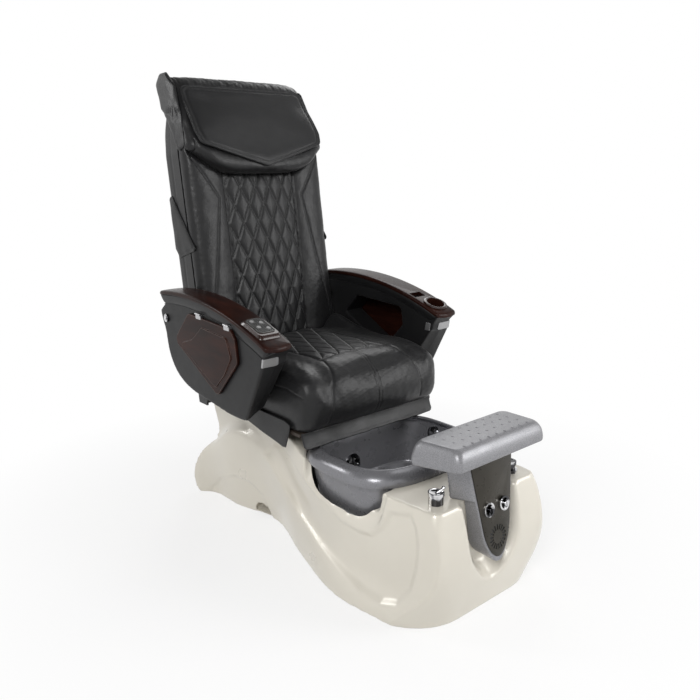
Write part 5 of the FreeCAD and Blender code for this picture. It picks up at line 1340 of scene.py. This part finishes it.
def makeFlap():
    # inset copies of the outline in a soft crown on the flap's face; the rear follows the same curve
    look = flapLook
    loop = roundedLoop(look["outline"], look["corner"], 9, 26)
    centre = np.array([0.0, 735.0])

    def ring(shape, behind):
        return onBack(shape[:, 0], flapFaceY(shape[:, 1], shape[:, 0]) + behind, shape[:, 1])

    rings = [ring(insetLoop(loop, 3) * (1 - t) + centre * t, look["thick"] - 0.4)
             for t in np.linspace(1, 0.08, 12)]
    for inset, behind in ((2.2, 7.6), (0.8, 6.8), (0, 5.4), (0, 3.6), (0.6, 2.2), (1.8, 1.2), (3.4, 0.8)):
        rings.append(ring(insetLoop(loop, inset), behind))
    base = insetLoop(loop, 3.4)
    for t in np.r_[np.linspace(0.01, 0.2, 12), np.linspace(0.24, 1, 18)]:
        shape = base * (1 - t) + centre * t
        groove = 1.8 * np.exp(-((t - 0.045) / 0.014) ** 2)
        rise = look["crown"] * (1 - (1 - t) ** 7) * (0.75 + 0.25 * np.cos(shape[:, 0] / 170))
        wave = 0.5 * ripple(shape[:, 0], shape[:, 1], 130, 8.0) * min(t * 6, 1)
        rings.append(ring(shape, 0.8 - rise + groove + wave))
    piece = addPiece("headFlap", ringMesh(np.array(rings)), "backrest", "black_leather", ["head_flap"],
                     crease=60)
    out = np.tile(onBack(0, -1, 0) - onBack(0, 0, 0), (len(loop), 1)) * 1000
    welts = []
    for behind, inset, radius in ((2.6, 0.6, 2.1), (6.6, -0.6, 1.8)):
        edge = insetLoop(loop, inset)
        welts.append(along(ring(edge, behind), out, radius, 8, True))
    addPiece("flapPiping", joinedMesh(welts), "backrest", "black_leather", crease=80)
    # a row of stitches beside the piping
    seam = insetLoop(loop, 12)
    x, z = spaced(np.concatenate([seam, seam[:1]]))
    addThread("flapThread", [laidOn(treeOf(piece.data), onBack(x, -200, z), intoBack)], "backrest")


makeSeatCushion()
makeBackCushion()
makePillow()
makeFlap()
for side in (-1, 1):
    makeWing(side)
print("cushions sewn")

# ---- leather over the shell, pouches, apron and side flaps

shellLook = {
    "half": 276, "front": 48, "rear": 150, "bend": 28, "foot": -38, "top": 826, "crown": 5,
    "rearSeams": [  # seen from behind: points (x, z), depth, width
        ([(-178, -40), (-178, 830)], 2.2, 3.0), ([(178, -40), (178, 830)], 2.2, 3.0),
        ([(-250, 610), (250, 610)], 2.2, 3.0), ([(-250, 150), (250, 150)], 1.8, 3.0),
    ],
    "sideSeams": [([(96, -40), (96, 830)], 1.4, 2.6)],  # seen from the side: (y, z)
}


def makeBackShell():
    # a U-shaped section carried up the back, rounded over at the top and bottom and closed
    look = shellLook
    a = np.linspace(0, math.pi / 2, 12)
    left = np.stack([look["half"] - look["bend"] * (1 - np.cos(a)),
                     look["rear"] - look["bend"] * (1 - np.sin(a))], -1)
    side = np.stack([np.full(14, look["half"]),
                     np.linspace(look["front"] + 0.4, look["rear"] - look["bend"] - 4, 14)], -1)
    across = np.stack([np.linspace(left[-1][0] - 4, -left[-1][0] + 4, 60), np.full(60, look["rear"])], -1)
    other = np.concatenate([side, left])[::-1] * [-1, 1]
    section = np.concatenate([side, left, across, other])
    z = np.concatenate([[0, 0.6, 2, 4.2, 7.5], np.linspace(12, 852, 110),
                        [856.5, 859.8, 862, 863.4, 864]]) + look["foot"]
    ends = np.minimum(z - look["foot"], look["top"] - z)
    inset = 8 * (1 - np.sqrt(np.clip(1 - (1 - np.clip(ends / 8, 0, 1)) ** 2, 0, 1)))
    narrow = (pillowHalf(z) / pillowLook["half"])[:, None]
    x = section[None, :, 0] * (1 - inset[:, None] / look["half"]) * narrow
    y = section[None, :, 1] - inset[:, None] * (section[None, :, 1] > look["front"] + 20) * 0.9
    zz = np.broadcast_to(z[:, None], x.shape)
    rear = smoothStep(y, look["rear"] - 12, look["rear"] - 2)
    y = y - smoothStep(y, 60, 150) * (34 * smoothStep(zz, 690, 826) + 52 * smoothStep(-zz, -42, 38) ** 2)
    middle = np.cos(np.clip(x / 250, -1, 1) * math.pi / 2)
    crown = look["crown"] * 0.5 * middle
    y = y + rear * (crown - seamDepth(x, zz, look["rearSeams"]) + 0.7 * ripple(x, zz, 150, 9.0))
    side = (1 - rear) * smoothStep(y, look["front"] + 4, look["front"] + 16)
    x = x - np.sign(x) * side * seamDepth(y, zz, look["sideSeams"])
    rings = onBack(x, y, zz)
    mesh = ringMesh(rings, True, True)
    addPiece("backLeather", mesh, "backrest", "black_leather", ["back_shell"], crease=50)


pouchLook = {
    "outline": [(6, 318), (118, 300), (138, 330), (138, 500), (120, 508)], "flare": 5.0, "sag": 0.7,
    "rows": [(1.0, 0.2), (0.4, 0.2), (0, 0.2), (0, 1.4), (0.012, 2.6), (0.03, 3.4), (0.06, 3.9), (0.075, 3.2),
             (0.1, 4.4), (0.2, 5.2), (0.4, 5.6), (0.7, 5.8), (1.0, 5.8)],
}


def makePouch(side):
    # a flat pouch: inset outlines raised to a soft face, with its upper front corner flaring out
    loop = roundedLoop(pouchLook["outline"], 9, 7, 16)
    centre = loop.mean(0)
    rings = []
    for t, rise in pouchLook["rows"]:
        shape = loop * (1 - t) + centre * t
        corner = smoothStep(shape[:, 1], 470, 508) * smoothStep(-shape[:, 0], -128, -60)
        flare = pouchLook["flare"] * corner * (rise > 1)
        sag = pouchLook["sag"] * ripple(shape[:, 0], shape[:, 1], 80, 10.0) * (rise > 3)
        rings.append(onBack(side * (shellLook["half"] + 0.3 + rise + flare + sag), shape[:, 0], shape[:, 1]))
    name, node, _ = sided(side, "pouch", "side_pocket")
    addPiece(name, ringMesh(np.array(rings)), "backrest", "black_leather", [node], crease=60)


apronLook = {"drop": 46, "flare": 17, "thread": 0.82}


def addHide(name, mesh, node):
    # leather 2.2 mm thick, half to each side of the mesh
    piece = addPiece(name, mesh, "seat", "black_leather", [node], crease=70)
    thick = piece.modifiers.new("thickness", "SOLIDIFY")
    thick.thickness, thick.offset = 0.0022, 0
    return piece


def makeApron():
    # a short curtain of leather under the seat's front, waving a little and hemmed
    x, t = np.meshgrid(np.linspace(-271, 271, 120), np.linspace(0, 1, 16), indexing="xy")
    drop, flare = apronLook["drop"], apronLook["flare"]
    round_ = 1 - np.sqrt(np.clip(1 - np.clip((np.abs(x) - 255) / 17, 0, 1) ** 2, 0, 1))
    z = 431 - drop * t * (1 - 0.3 * round_) + 1.2 * ripple(x, t * 10, 160, 11.0) * t
    y = 1.5 - flare * t ** 1.4 + 9 * round_ * t + t * (1.6 * np.sin(x / 31) + 0.8 * np.sin(x / 13 + 1))
    y -= 0.7 * smoothStep(t, 0.8, 0.86)
    mesh = meshFrom(chair(x, y, z).reshape(-1, 3), gridFaces(16, 120, False))
    piece = addHide("seatApron", mesh, "seat_apron")
    starts = chair(np.linspace(-250, 250, 170), -100, 431 - drop * apronLook["thread"])
    addThread("apronThread", [laidOn(treeOf(mesh), starts, (0, 1, 0), 0.0012)], "seat")


sideFlapLook = {
    # the upper and lower edges as (y, z), and where the leather hangs
    "top": [(34, 452), (60, 462), (330, 462), (404, 450)],
    "low": [(34, 451), (38, 432), (58, 378), (74, 376), (250, 407), (404, 449)],
    "x": 285.5, "belly": 1.2, "wave": 0.8,
}


def makeSideFlap(side):
    # leather hanging outside the seat frame: rows between its top and bottom edges, bellied outwards
    look = sideFlapLook
    y = np.linspace(35, 403, 110)
    top, low = (np.interp(y, *np.array(look[key]).T) for key in ("top", "low"))
    t = np.linspace(0, 1, 22)[:, None]
    z = top * (1 - t) + low * t
    wave = look["wave"] * t * np.sin(y / 23) * smoothStep(y, 30, 90)
    x = look["x"] + np.sin(t * math.pi) * look["belly"] + wave
    name, node, _ = sided(side, "flap", "side_flap")
    mesh = meshFrom(chair(side * x, y, z).reshape(-1, 3), gridFaces(22, 110, False))
    piece = addHide(name, mesh, node)
    plan = ((276.2, 60), (285, 60), (285, 300), (276.2, 300))
    strip = hexMesh([chair(side * x, y, z) for z in (428.6, 431.2) for x, y in plan])
    addPiece(name + "Strip", strip, "seat", "black_leather")


makeBackShell()
makeApron()
for side in (-1, 1):
    makePouch(side)
    makeSideFlap(side)
print("leather trim made")

# ---- arms

armLook = {
    # the arc that every line along the arm follows
    "arcY": 445.01, "arcZ": -351.11, "arcR": 1149.88,
    # the cap's sides and the arcs at its ends
    "capIn": 297, "capOut": 391, "frontR": 127.2, "rearR": 65.2,
    "cupX": 344, "cupY": 52, "cupR": 33, "keypadX": 345, "keypadY": 88, "voxel": 3.4, "rounds": 3,
    # how far in towards the cap's middle line and how far below its top, from under the cap over its edge
    "capRows": [(1.0, 13), (0.6, 13), (0.2, 13), (0.04, 13), (0.012, 12.4), (0.0, 11), (0.0, 8.5), (0.006, 6),
                (0.022, 3.8), (0.05, 2.2), (0.09, 1.2), (0.16, 0.5), (0.28, 0.0), (0.45, -0.3), (0.7, -0.5),
                (1.0, -0.55)],
    # what is cut out of the arm's front and its rear corner, as (y, z)
    "cuts": [[(-40, 720), (-14, 720), (0, 699), (19.5, 671), (24.5, 646), (24, 632), (-40, 632)],
             [(571, 749), (604, 716), (640, 716), (640, 790), (560, 790)]],
    # how far below the cap's top and how far in, down the rail
    "railRows": [(13.3, 1.5), (14.2, 0.3), (17, -0.5), (24, -1.3), (31, -1.3), (37, -0.7), (40.5, 0.3),
                 (42, 1.6), (42.4, 6)],
}


def capHeight(y, drop=0.0):
    # the arm's top follows one arc, and lines below it share its centre
    look = armLook
    return look["arcZ"] + np.sqrt((look["arcR"] - drop) ** 2 - (y - look["arcY"]) ** 2)


def capSlope(y):
    return math.asin((armLook["arcY"] - y) / armLook["arcR"])


def onCap(x, y, z, atX, atY, side):
    # a frame square to the cap at one place
    s = capSlope(atY)
    return chair(side * atX + x, atY + y * math.cos(s) - z * math.sin(s),
                 capHeight(atY) + y * math.sin(s) + z * math.cos(s))


def capOutline():
    # straight sides between two shallow arcs, the corners eased a little
    look = armLook
    half, middle = (look["capOut"] - look["capIn"]) / 2, (look["capOut"] + look["capIn"]) / 2
    front = np.linspace(-1, 1, 34) * math.asin(half / look["frontR"])
    rear = np.linspace(-1, 1, 26) * math.asin(half / look["rearR"])
    y = np.linspace(5, 580, 60)
    loop = np.concatenate([
        np.stack([middle + look["frontR"] * np.sin(front), 119.2 - look["frontR"] * np.cos(front)], -1),
        np.stack([np.full(60, look["capOut"]), y], -1),
        np.stack([middle - look["rearR"] * np.sin(rear), 544.8 + look["rearR"] * np.cos(rear)], -1),
        np.stack([np.full(60, look["capIn"]), y[::-1]], -1),
    ])
    for _ in range(3):
        loop = (np.roll(loop, 1, 0) + 2 * loop + np.roll(loop, -1, 0)) / 4
    return loop


def armOf(side):
    return "left_arm" if side > 0 else "right_arm"


def cupTool(low):
    # what the cup's liner goes through
    x, y = armLook["cupR"] * np.cos(circle(64)), armLook["cupR"] * np.sin(circle(64))
    return ringMesh([onCap(x, y, h, armLook["cupX"], armLook["cupY"], 1) for h in (low, 30)], True, True)


def makeCap(side):
    # the outline drawn in to the cap's middle line: flat below, rounded at the edge, gently crowned on top
    loop = capOutline()
    middle = np.stack([np.full(len(loop), 344.0), np.clip(loop[:, 1], 22, 545)], -1)

    def ring(share, drop):
        shape = loop * (1 - share) + middle * share
        return chair(side * shape[:, 0], shape[:, 1], capHeight(shape[:, 1], drop))

    mesh = ringMesh(np.array([ring(share, drop) for share, drop in armLook["capRows"]]))
    if side > 0:
        corners = roundedLoop([(-25, -16), (25, -16), (25, 16), (-25, 16)], 3, 6, 4)
        slot = ringMesh([onCap(corners[:, 0], corners[:, 1], h, 332, 124, 1) for h in (-60, 30)], True, True)
        mesh = bored(mesh, [cupTool(-40), slot])
    name, node, _ = sided(side, "cap", "arm_cap")
    addPiece(name, mesh, armOf(side), "rosewood", [node], crease=35)


def makeRail(side):
    # the padded band under the cap; its front leans back and its rear end is cut on a slant
    rings = []
    for drop, inset in armLook["railRows"]:
        front, rear = -1 + 0.76 * (drop - 13), 603 - 0.95 * (drop - 13)
        corners = [(300, front + 0.6 * (drop - 13)), (383, front), (383, rear), (300, rear)]
        shape = insetLoop(roundedLoop(corners, 7, 9, 60), inset)
        rings.append(chair(side * shape[:, 0], shape[:, 1], capHeight(shape[:, 1], drop)))
    middle = np.stack([np.full(len(shape), 341.5), np.clip(shape[:, 1], 40, 560)], -1)
    for drop in (13.3, 42.4):
        rings.insert(0 if drop < 20 else len(rings),
                     chair(side * middle[:, 0], middle[:, 1], capHeight(middle[:, 1], drop)))
    mesh = ringMesh(np.array(rings))
    if side > 0:
        mesh = bored(mesh, [cupTool(-50)])
    name, _, _ = sided(side, "rail")
    addPiece(name, mesh, armOf(side), "arm_plastic", crease=40, finish="rail_black")
    y = np.linspace(24, 572, 120)
    line = chair(side * 383.4, y, capHeight(y, 43.4))
    out = np.tile([float(side), 0.0, 0.3], (len(y), 1))
    addPiece(name + "Edge", along(line, out, 1.0, 6), armOf(side), "arm_plastic", crease=60)


def makeArmBody(side):
    # the CAD arm under an even skin, with room cut out for the leaning rail and the trim
    name, node, _ = sided(side, "armBody", "arm_shell")
    cutters = []
    for profile in armLook["cuts"]:
        loop = np.array(profile, float)
        rings = [chair(side * x, loop[:, 0], loop[:, 1]) for x in (290, 392)]
        cutters.append(ringMesh(rings, True, True))
    points, faces = remeshed(bored(cadMesh(node), cutters), armLook["voxel"])
    points = relaxed(points, faces, armLook["rounds"])
    x, y, z = inChair(points)
    # the front is folded along its middle into two facets, and the upper rear corner reaches back a little
    front = np.interp(z, [467, 646], [114, 24])
    across = 1 - np.abs(np.abs(x) - 341) / 42
    fold = 5 * across * smoothStep(front + 16 - y, 0, 12) * smoothStep(652 - z, 0, 8)
    reach = 12 * np.exp(-((z - 700) / 34) ** 2) * smoothStep(y, 545, 585)
    points[:, 1] += (reach - np.clip(fold, 0, 5)) * 0.001
    addPiece(name, meshFrom(points, faces), armOf(side), "arm_plastic", [node], crease=32)


trimLook = {
    "plan": [(384.6, 0), (383.6, -1.5), (341.5, -4), (299, 10), (298.4, 12), (298.4, 30), (370, 30),
             (384.6, 4)],
    # height, how far back and how far in, from the top down
    "rows": [(672, 20, 1.2), (671, 20, 0.2), (660, 22, 0), (648, 24.3, 0), (646.6, 24.8, 0.4),
             (646, 25.2, 1.4)],
}


def makeTrim(side):
    # a silver wedge under the rail's front, folded along its middle like the arm below it
    name, node, _ = sided(side, "armTrim", "arm_trim")
    plan = np.array(trimLook["plan"], float)
    rings = []
    for z, y, inset in trimLook["rows"]:
        shape = insetLoop(plan, inset)
        rings.append(chair(side * shape[:, 0], shape[:, 1] + y, z))
    addPiece(name, ringMesh(rings, True, True), armOf(side), "silver_paint", [node], crease=20)


doorLook = {
    # outlines as (y, z), their corners' radius and steps; where each starts, its thickness, round and crown
    "plate": ([(407, 743), (503, 642), (252, 512), (136, 637), (146, 706), (168, 732)], 22, 10, 16),
    "panel": ([(470, 637), (386, 664), (326, 712), (190, 703), (166, 646), (204, 589), (258, 537)], 12, 8,
              14),
    "plateBuild": (383.4, 9, 2.4, 0.8), "panelBuild": (391.6, 3.8, 1.6, 1.0),
    "tabs": (188, 345), "pinRadius": 3, "pinX": 393.4,
}


def makeDoor(side):
    # a gem-shaped plate and a raised panel, each with rounded edges and a crowned face, on two hinge tabs
    plate, panel = roundedLoop(*doorLook["plate"]), roundedLoop(*doorLook["panel"])
    meshes = []
    for loop, (low, thick, edge, crown) in ((plate, doorLook["plateBuild"]), (panel, doorLook["panelBuild"])):
        centre = loop.mean(0)
        rings = [(centre * 0.999 + loop * 0.001, low), (loop * 0.7 + centre * 0.3, low),
                 (insetLoop(loop, 0.6), low), (loop, low + 0.8)]
        for a in np.linspace(0, math.pi / 2, 6):
            rings.append((insetLoop(loop, edge * (1 - math.cos(a))), low + thick - edge * (1 - math.sin(a))))
        inner = insetLoop(loop, edge)
        for t in (0.03, 0.1, 0.2, 0.4, 0.7, 1.0):
            rings.append((inner * (1 - t) + centre * t, low + thick + crown * (1 - (1 - t) ** 2) * 0.4))
        meshes.append(ringMesh(np.array([chair(side * x, shape[:, 0], shape[:, 1]) for shape, x in rings])))
    name, node, body = sided(side, "door", "door", "door")
    addPiece(name, joinedMesh(meshes), body, "rosewood", [node], crease=40)
    # thin lighter brown tubes round the plate and the panel: painted highlights along their edges
    lines = []
    for loop, inset, x in ((plate, 2.6, 392.3), (panel, -0.4, 392.6), (panel, 1.8, 395.3)):
        line = insetLoop(loop, inset)
        path = chair(side * x, line[:, 0], line[:, 1])
        lines.append(along(path, np.tile([float(side), 0.0, 0.0], (len(path), 1)), 0.55, 6, True))
    addPiece(name + "PaintedHighlightLines", joinedMesh(lines), body, "rosewood", crease=60, finish="painted_highlight_line")
    meshes = []
    for y in doorLook["tabs"]:
        z = 733 + (y - 168) * 0.05
        tab = roundedLoop([(-14, -8), (14, -8), (14, 7), (-14, 7)], 2, 5, 3)
        rows = ((384, 1), (392.8, 1), (393.4, 0.95))
        rings = [chair(side * x, y + s * tab[:, 0], z + s * tab[:, 1]) for x, s in rows]
        meshes.append(ringMesh(rings, True, True))
        pin = [chair(side * doorLook["pinX"], y + reach, z + 7 + reach * 0.05) for reach in (-14, 14)]
        meshes.append(boreTool(*pin, doorLook["pinRadius"], 20))
    addPiece(name + "Tabs", joinedMesh(meshes), body, "steel", crease=40)


for side in (-1, 1):
    makeCap(side)
    makeRail(side)
    makeDoor(side)
    makeArmBody(side)
    makeTrim(side)
print("arms made")


def makeCup():
    # a ring that stands on the cap and a cup wall turned about one axis
    profile = [(29.7, -46.7), (29.7, 2), (30.2, 4.6), (31.6, 5.8), (34, 6.2), (37.5, 5.9), (40.2, 4.8),
               (41, 3), (41, 1.1), (33.2, 1.0), (32.7, 0.4), (32.7, -49.5), (0.05, -49.7), (0.05, -46.7)]
    a = circle(72)
    place = armLook["cupX"], armLook["cupY"], 1
    rings = [onCap(r * np.cos(a), r * np.sin(a), h, *place) for r, h in profile + profile[:1]]
    addPiece("cupLiner", ringMesh(rings), "left_arm", "brown_plastic", ["cup_holder"], crease=35)


def makeKeypad():
    # a pod that slopes down to the front, with a plate of small keys set in its top
    def onPad(shape, h):
        return onCap(shape[:, 0], shape[:, 1], h, armLook["keypadX"], armLook["keypadY"], -1)

    base = roundedLoop([(-38, -60), (38, -60), (38, 47), (-38, 47)], 11, 9, 10)
    rings = [onPad(base * 0.02, 0.2)]
    # shares of the pod's width and length, and the height above the cap
    for across, deep, h in ((1, 1, 0.2), (1, 1, 1.4), (0.975, 0.985, 3), (0.92, 0.93, 6), (0.885, 0.86, 8.2),
                            (0.865, 0.835, 9), (0.6, 0.6, 9), (0.02, 0.02, 9)):
        shape = base * [across, deep]
        rings.append(onPad(shape, h - shape[:, 1] ** 2 / 2300 * (h < 8)))
    pod = ringMesh(rings)
    addPiece("keypadPodGloss", pod, "right_arm", "brown_plastic", ["keypad_pod"], crease=25)
    crisp("keypadPlate", "keypad_face", "silver_paint", 0.4, finish="keypad_silver")
    for word in ("power", "recline", "slide", "massage"):
        crisp(word + "Key", word + "_key", "grey_plastic", 0.5)
    # small moulded keys in rows between the four that move
    x, y = (grid.ravel() for grid in np.meshgrid(np.linspace(-23, 23, 7), np.linspace(-34, 34, 11)))
    keys = np.array([(-14, 24), (10, 12), (-12, -10), (13, -22)], float)
    clear = np.min(np.hypot(x[:, None] - keys[:, 0], y[:, None] - keys[:, 1]), axis=1) > 8.6
    shape = roundedLoop([(-2.3, -1.5), (2.3, -1.5), (2.3, 1.5), (-2.3, 1.5)], 0.7, 4, 1)
    rows = ((1, 11.6), (1, 12.5), (0.85, 12.9))
    blocks = [ringMesh([onPad(place + s * shape, h) for s, h in rows], True, True)
              for place in zip(x[clear], y[clear])]
    addPiece("keypadSmallKeys", joinedMesh(blocks), "right_arm", "black_plastic", crease=30)


makeCup()
makeKeypad()
print("cup and keypad made")

# ---- CAD pieces that keep their shape get their finish

plainFinishes = {
    "steel": ["mixing_valve", "footrest_post", "seat_rails", "slide_rod", "massage_rails", "lead_screw"],
    "black_paint": ["floor_frame", "slide_actuator", "seat_frame", "recline_motor", "back_frame"],
    "black_plastic": ["rear_jet_motor", "control_box", "power_inlet", "massage_motor", "massage_carriage"],
    "grey_plastic": ["rear_jet_impeller", "kneading_shaft"], "rubber": ["levelling_feet"],
    "board": ["seat_pan"],
}
for slot, names in plainFinishes.items():
    for node in names:
        data = nodes[node].data
        count = max(len(data.materials), 1)
        if not len(data.materials):
            data.materials.append(finishes[slot])
        for index in range(count):
            data.materials[index] = finishes[slot]
print("frame pieces painted")

# ---- floor, light and camera

roomLook = {"floor": 0.9, "world": 0.42, "ceiling": 0.22}
lamps = {
    "keyLamp": dict(place=(-2.5, -1.9, 2.7), size=(1.3, 1.3), power=66),
    "fillLamp": dict(place=(1.9, -2.6, 1.6), size=(1.4, 1.9), power=44),
    "topLamp": dict(place=(1.2, -0.7, 3.1), size=(0.9, 0.9), power=5),
    "rearLeftLamp": dict(place=(-2.2, 2.4, 2.3), size=(0.9, 0.7), power=20),
    "rearRightLamp": dict(place=(2.0, 1.5, 2.7), size=(1.2, 1.2), power=14),
}


def seenStraight(tree):
    # 1 for what the camera, a mirror or a glass sees
    path = addNode(tree, "LightPath", {}).outputs
    first = addNode(tree, "Math", {0: path["Is Camera Ray"], 1: path["Is Glossy Ray"]}, "MAXIMUM").outputs[0]
    return addNode(tree, "Math", {0: first, 1: path["Is Transmission Ray"]}, "MAXIMUM").outputs[0]


def makeFloor():
    # a pale disc that keeps the shadow near the chair and is plain white further out
    bm = bmesh.new()
    bmesh.ops.create_circle(bm, cap_ends=True, radius=14, segments=64)
    mesh = bpy.data.meshes.new("floor")
    bm.to_mesh(mesh)
    bm.free()
    floor = bpy.data.objects.new("floor", mesh)
    floor.location.z = -0.0005
    scene.collection.objects.link(floor)
    material = bpy.data.materials.new("studioFloor")
    material.use_nodes = True
    tree = material.node_tree
    tree.nodes.clear()
    diffuse = addNode(tree, "BsdfDiffuse", {"Color": (roomLook["floor"],) * 3 + (1,)})
    white = addNode(tree, "Emission", {"Strength": 1.0})
    place = addNode(tree, "TexCoord", {}).outputs["Object"]
    length = addNode(tree, "VectorMath", {0: place}, "LENGTH").outputs["Value"]
    share = ranged(tree, length, 0.62, 1.0, 0.55, 1.5)
    both = addNode(tree, "Math", {0: share, 1: seenStraight(tree)}, "MULTIPLY").outputs[0]
    mix = addNode(tree, "MixShader", {0: both, 1: diffuse.outputs[0], 2: white.outputs[0]})
    addNode(tree, "OutputMaterial", {0: mix.outputs[0]})
    mesh.materials.append(material)


def makeWorld():
    # grey light all round; the camera and the reflections see white walls under a darker ceiling
    world = bpy.data.worlds.new("studio")
    scene.world = world
    world.use_nodes = True
    tree = world.node_tree
    tree.nodes.clear()
    parts = addNode(tree, "SeparateXYZ", {0: addNode(tree, "TexCoord", {}).outputs["Generated"]})
    bright = ranged(tree, parts.outputs["Z"], 1.0, roomLook["ceiling"], 0.38, 0.72)
    soft = addNode(tree, "Background", {"Color": (1, 1, 1, 1), "Strength": roomLook["world"]})
    white = addNode(tree, "Background", {"Color": (1, 1, 1, 1), "Strength": bright})
    mix = addNode(tree, "MixShader", {0: seenStraight(tree), 1: soft.outputs[0], 2: white.outputs[0]})
    addNode(tree, "OutputWorld", {0: mix.outputs[0]})


def makeLamp(name, place, target, size, power):
    data = bpy.data.lights.new(name, "AREA")
    data.shape, data.size, data.size_y, data.energy = "RECTANGLE", size[0], size[1], power
    lamp = bpy.data.objects.new(name, data)
    lamp.location = place
    lamp.rotation_euler = (Vector(target) - Vector(place)).to_track_quat("-Z", "Y").to_euler()
    scene.collection.objects.link(lamp)


def makeCamera():
    data = bpy.data.cameras.new("camera")
    data.lens, data.sensor_width = 38.06, 36
    camera = bpy.data.objects.new("camera", data)
    camera.location = (-1.49351, -1.71991, 1.20903)
    camera.rotation_euler = (math.radians(75.38), 0, math.radians(-41.33))
    scene.collection.objects.link(camera)
    scene.camera = camera


makeFloor()
makeWorld()
for lampName, lamp in lamps.items():
    makeLamp(lampName, lamp["place"], (0, 0, 0.6), lamp["size"], lamp["power"])
makeCamera()
scene.view_settings.view_transform = "Standard"
print("room made")
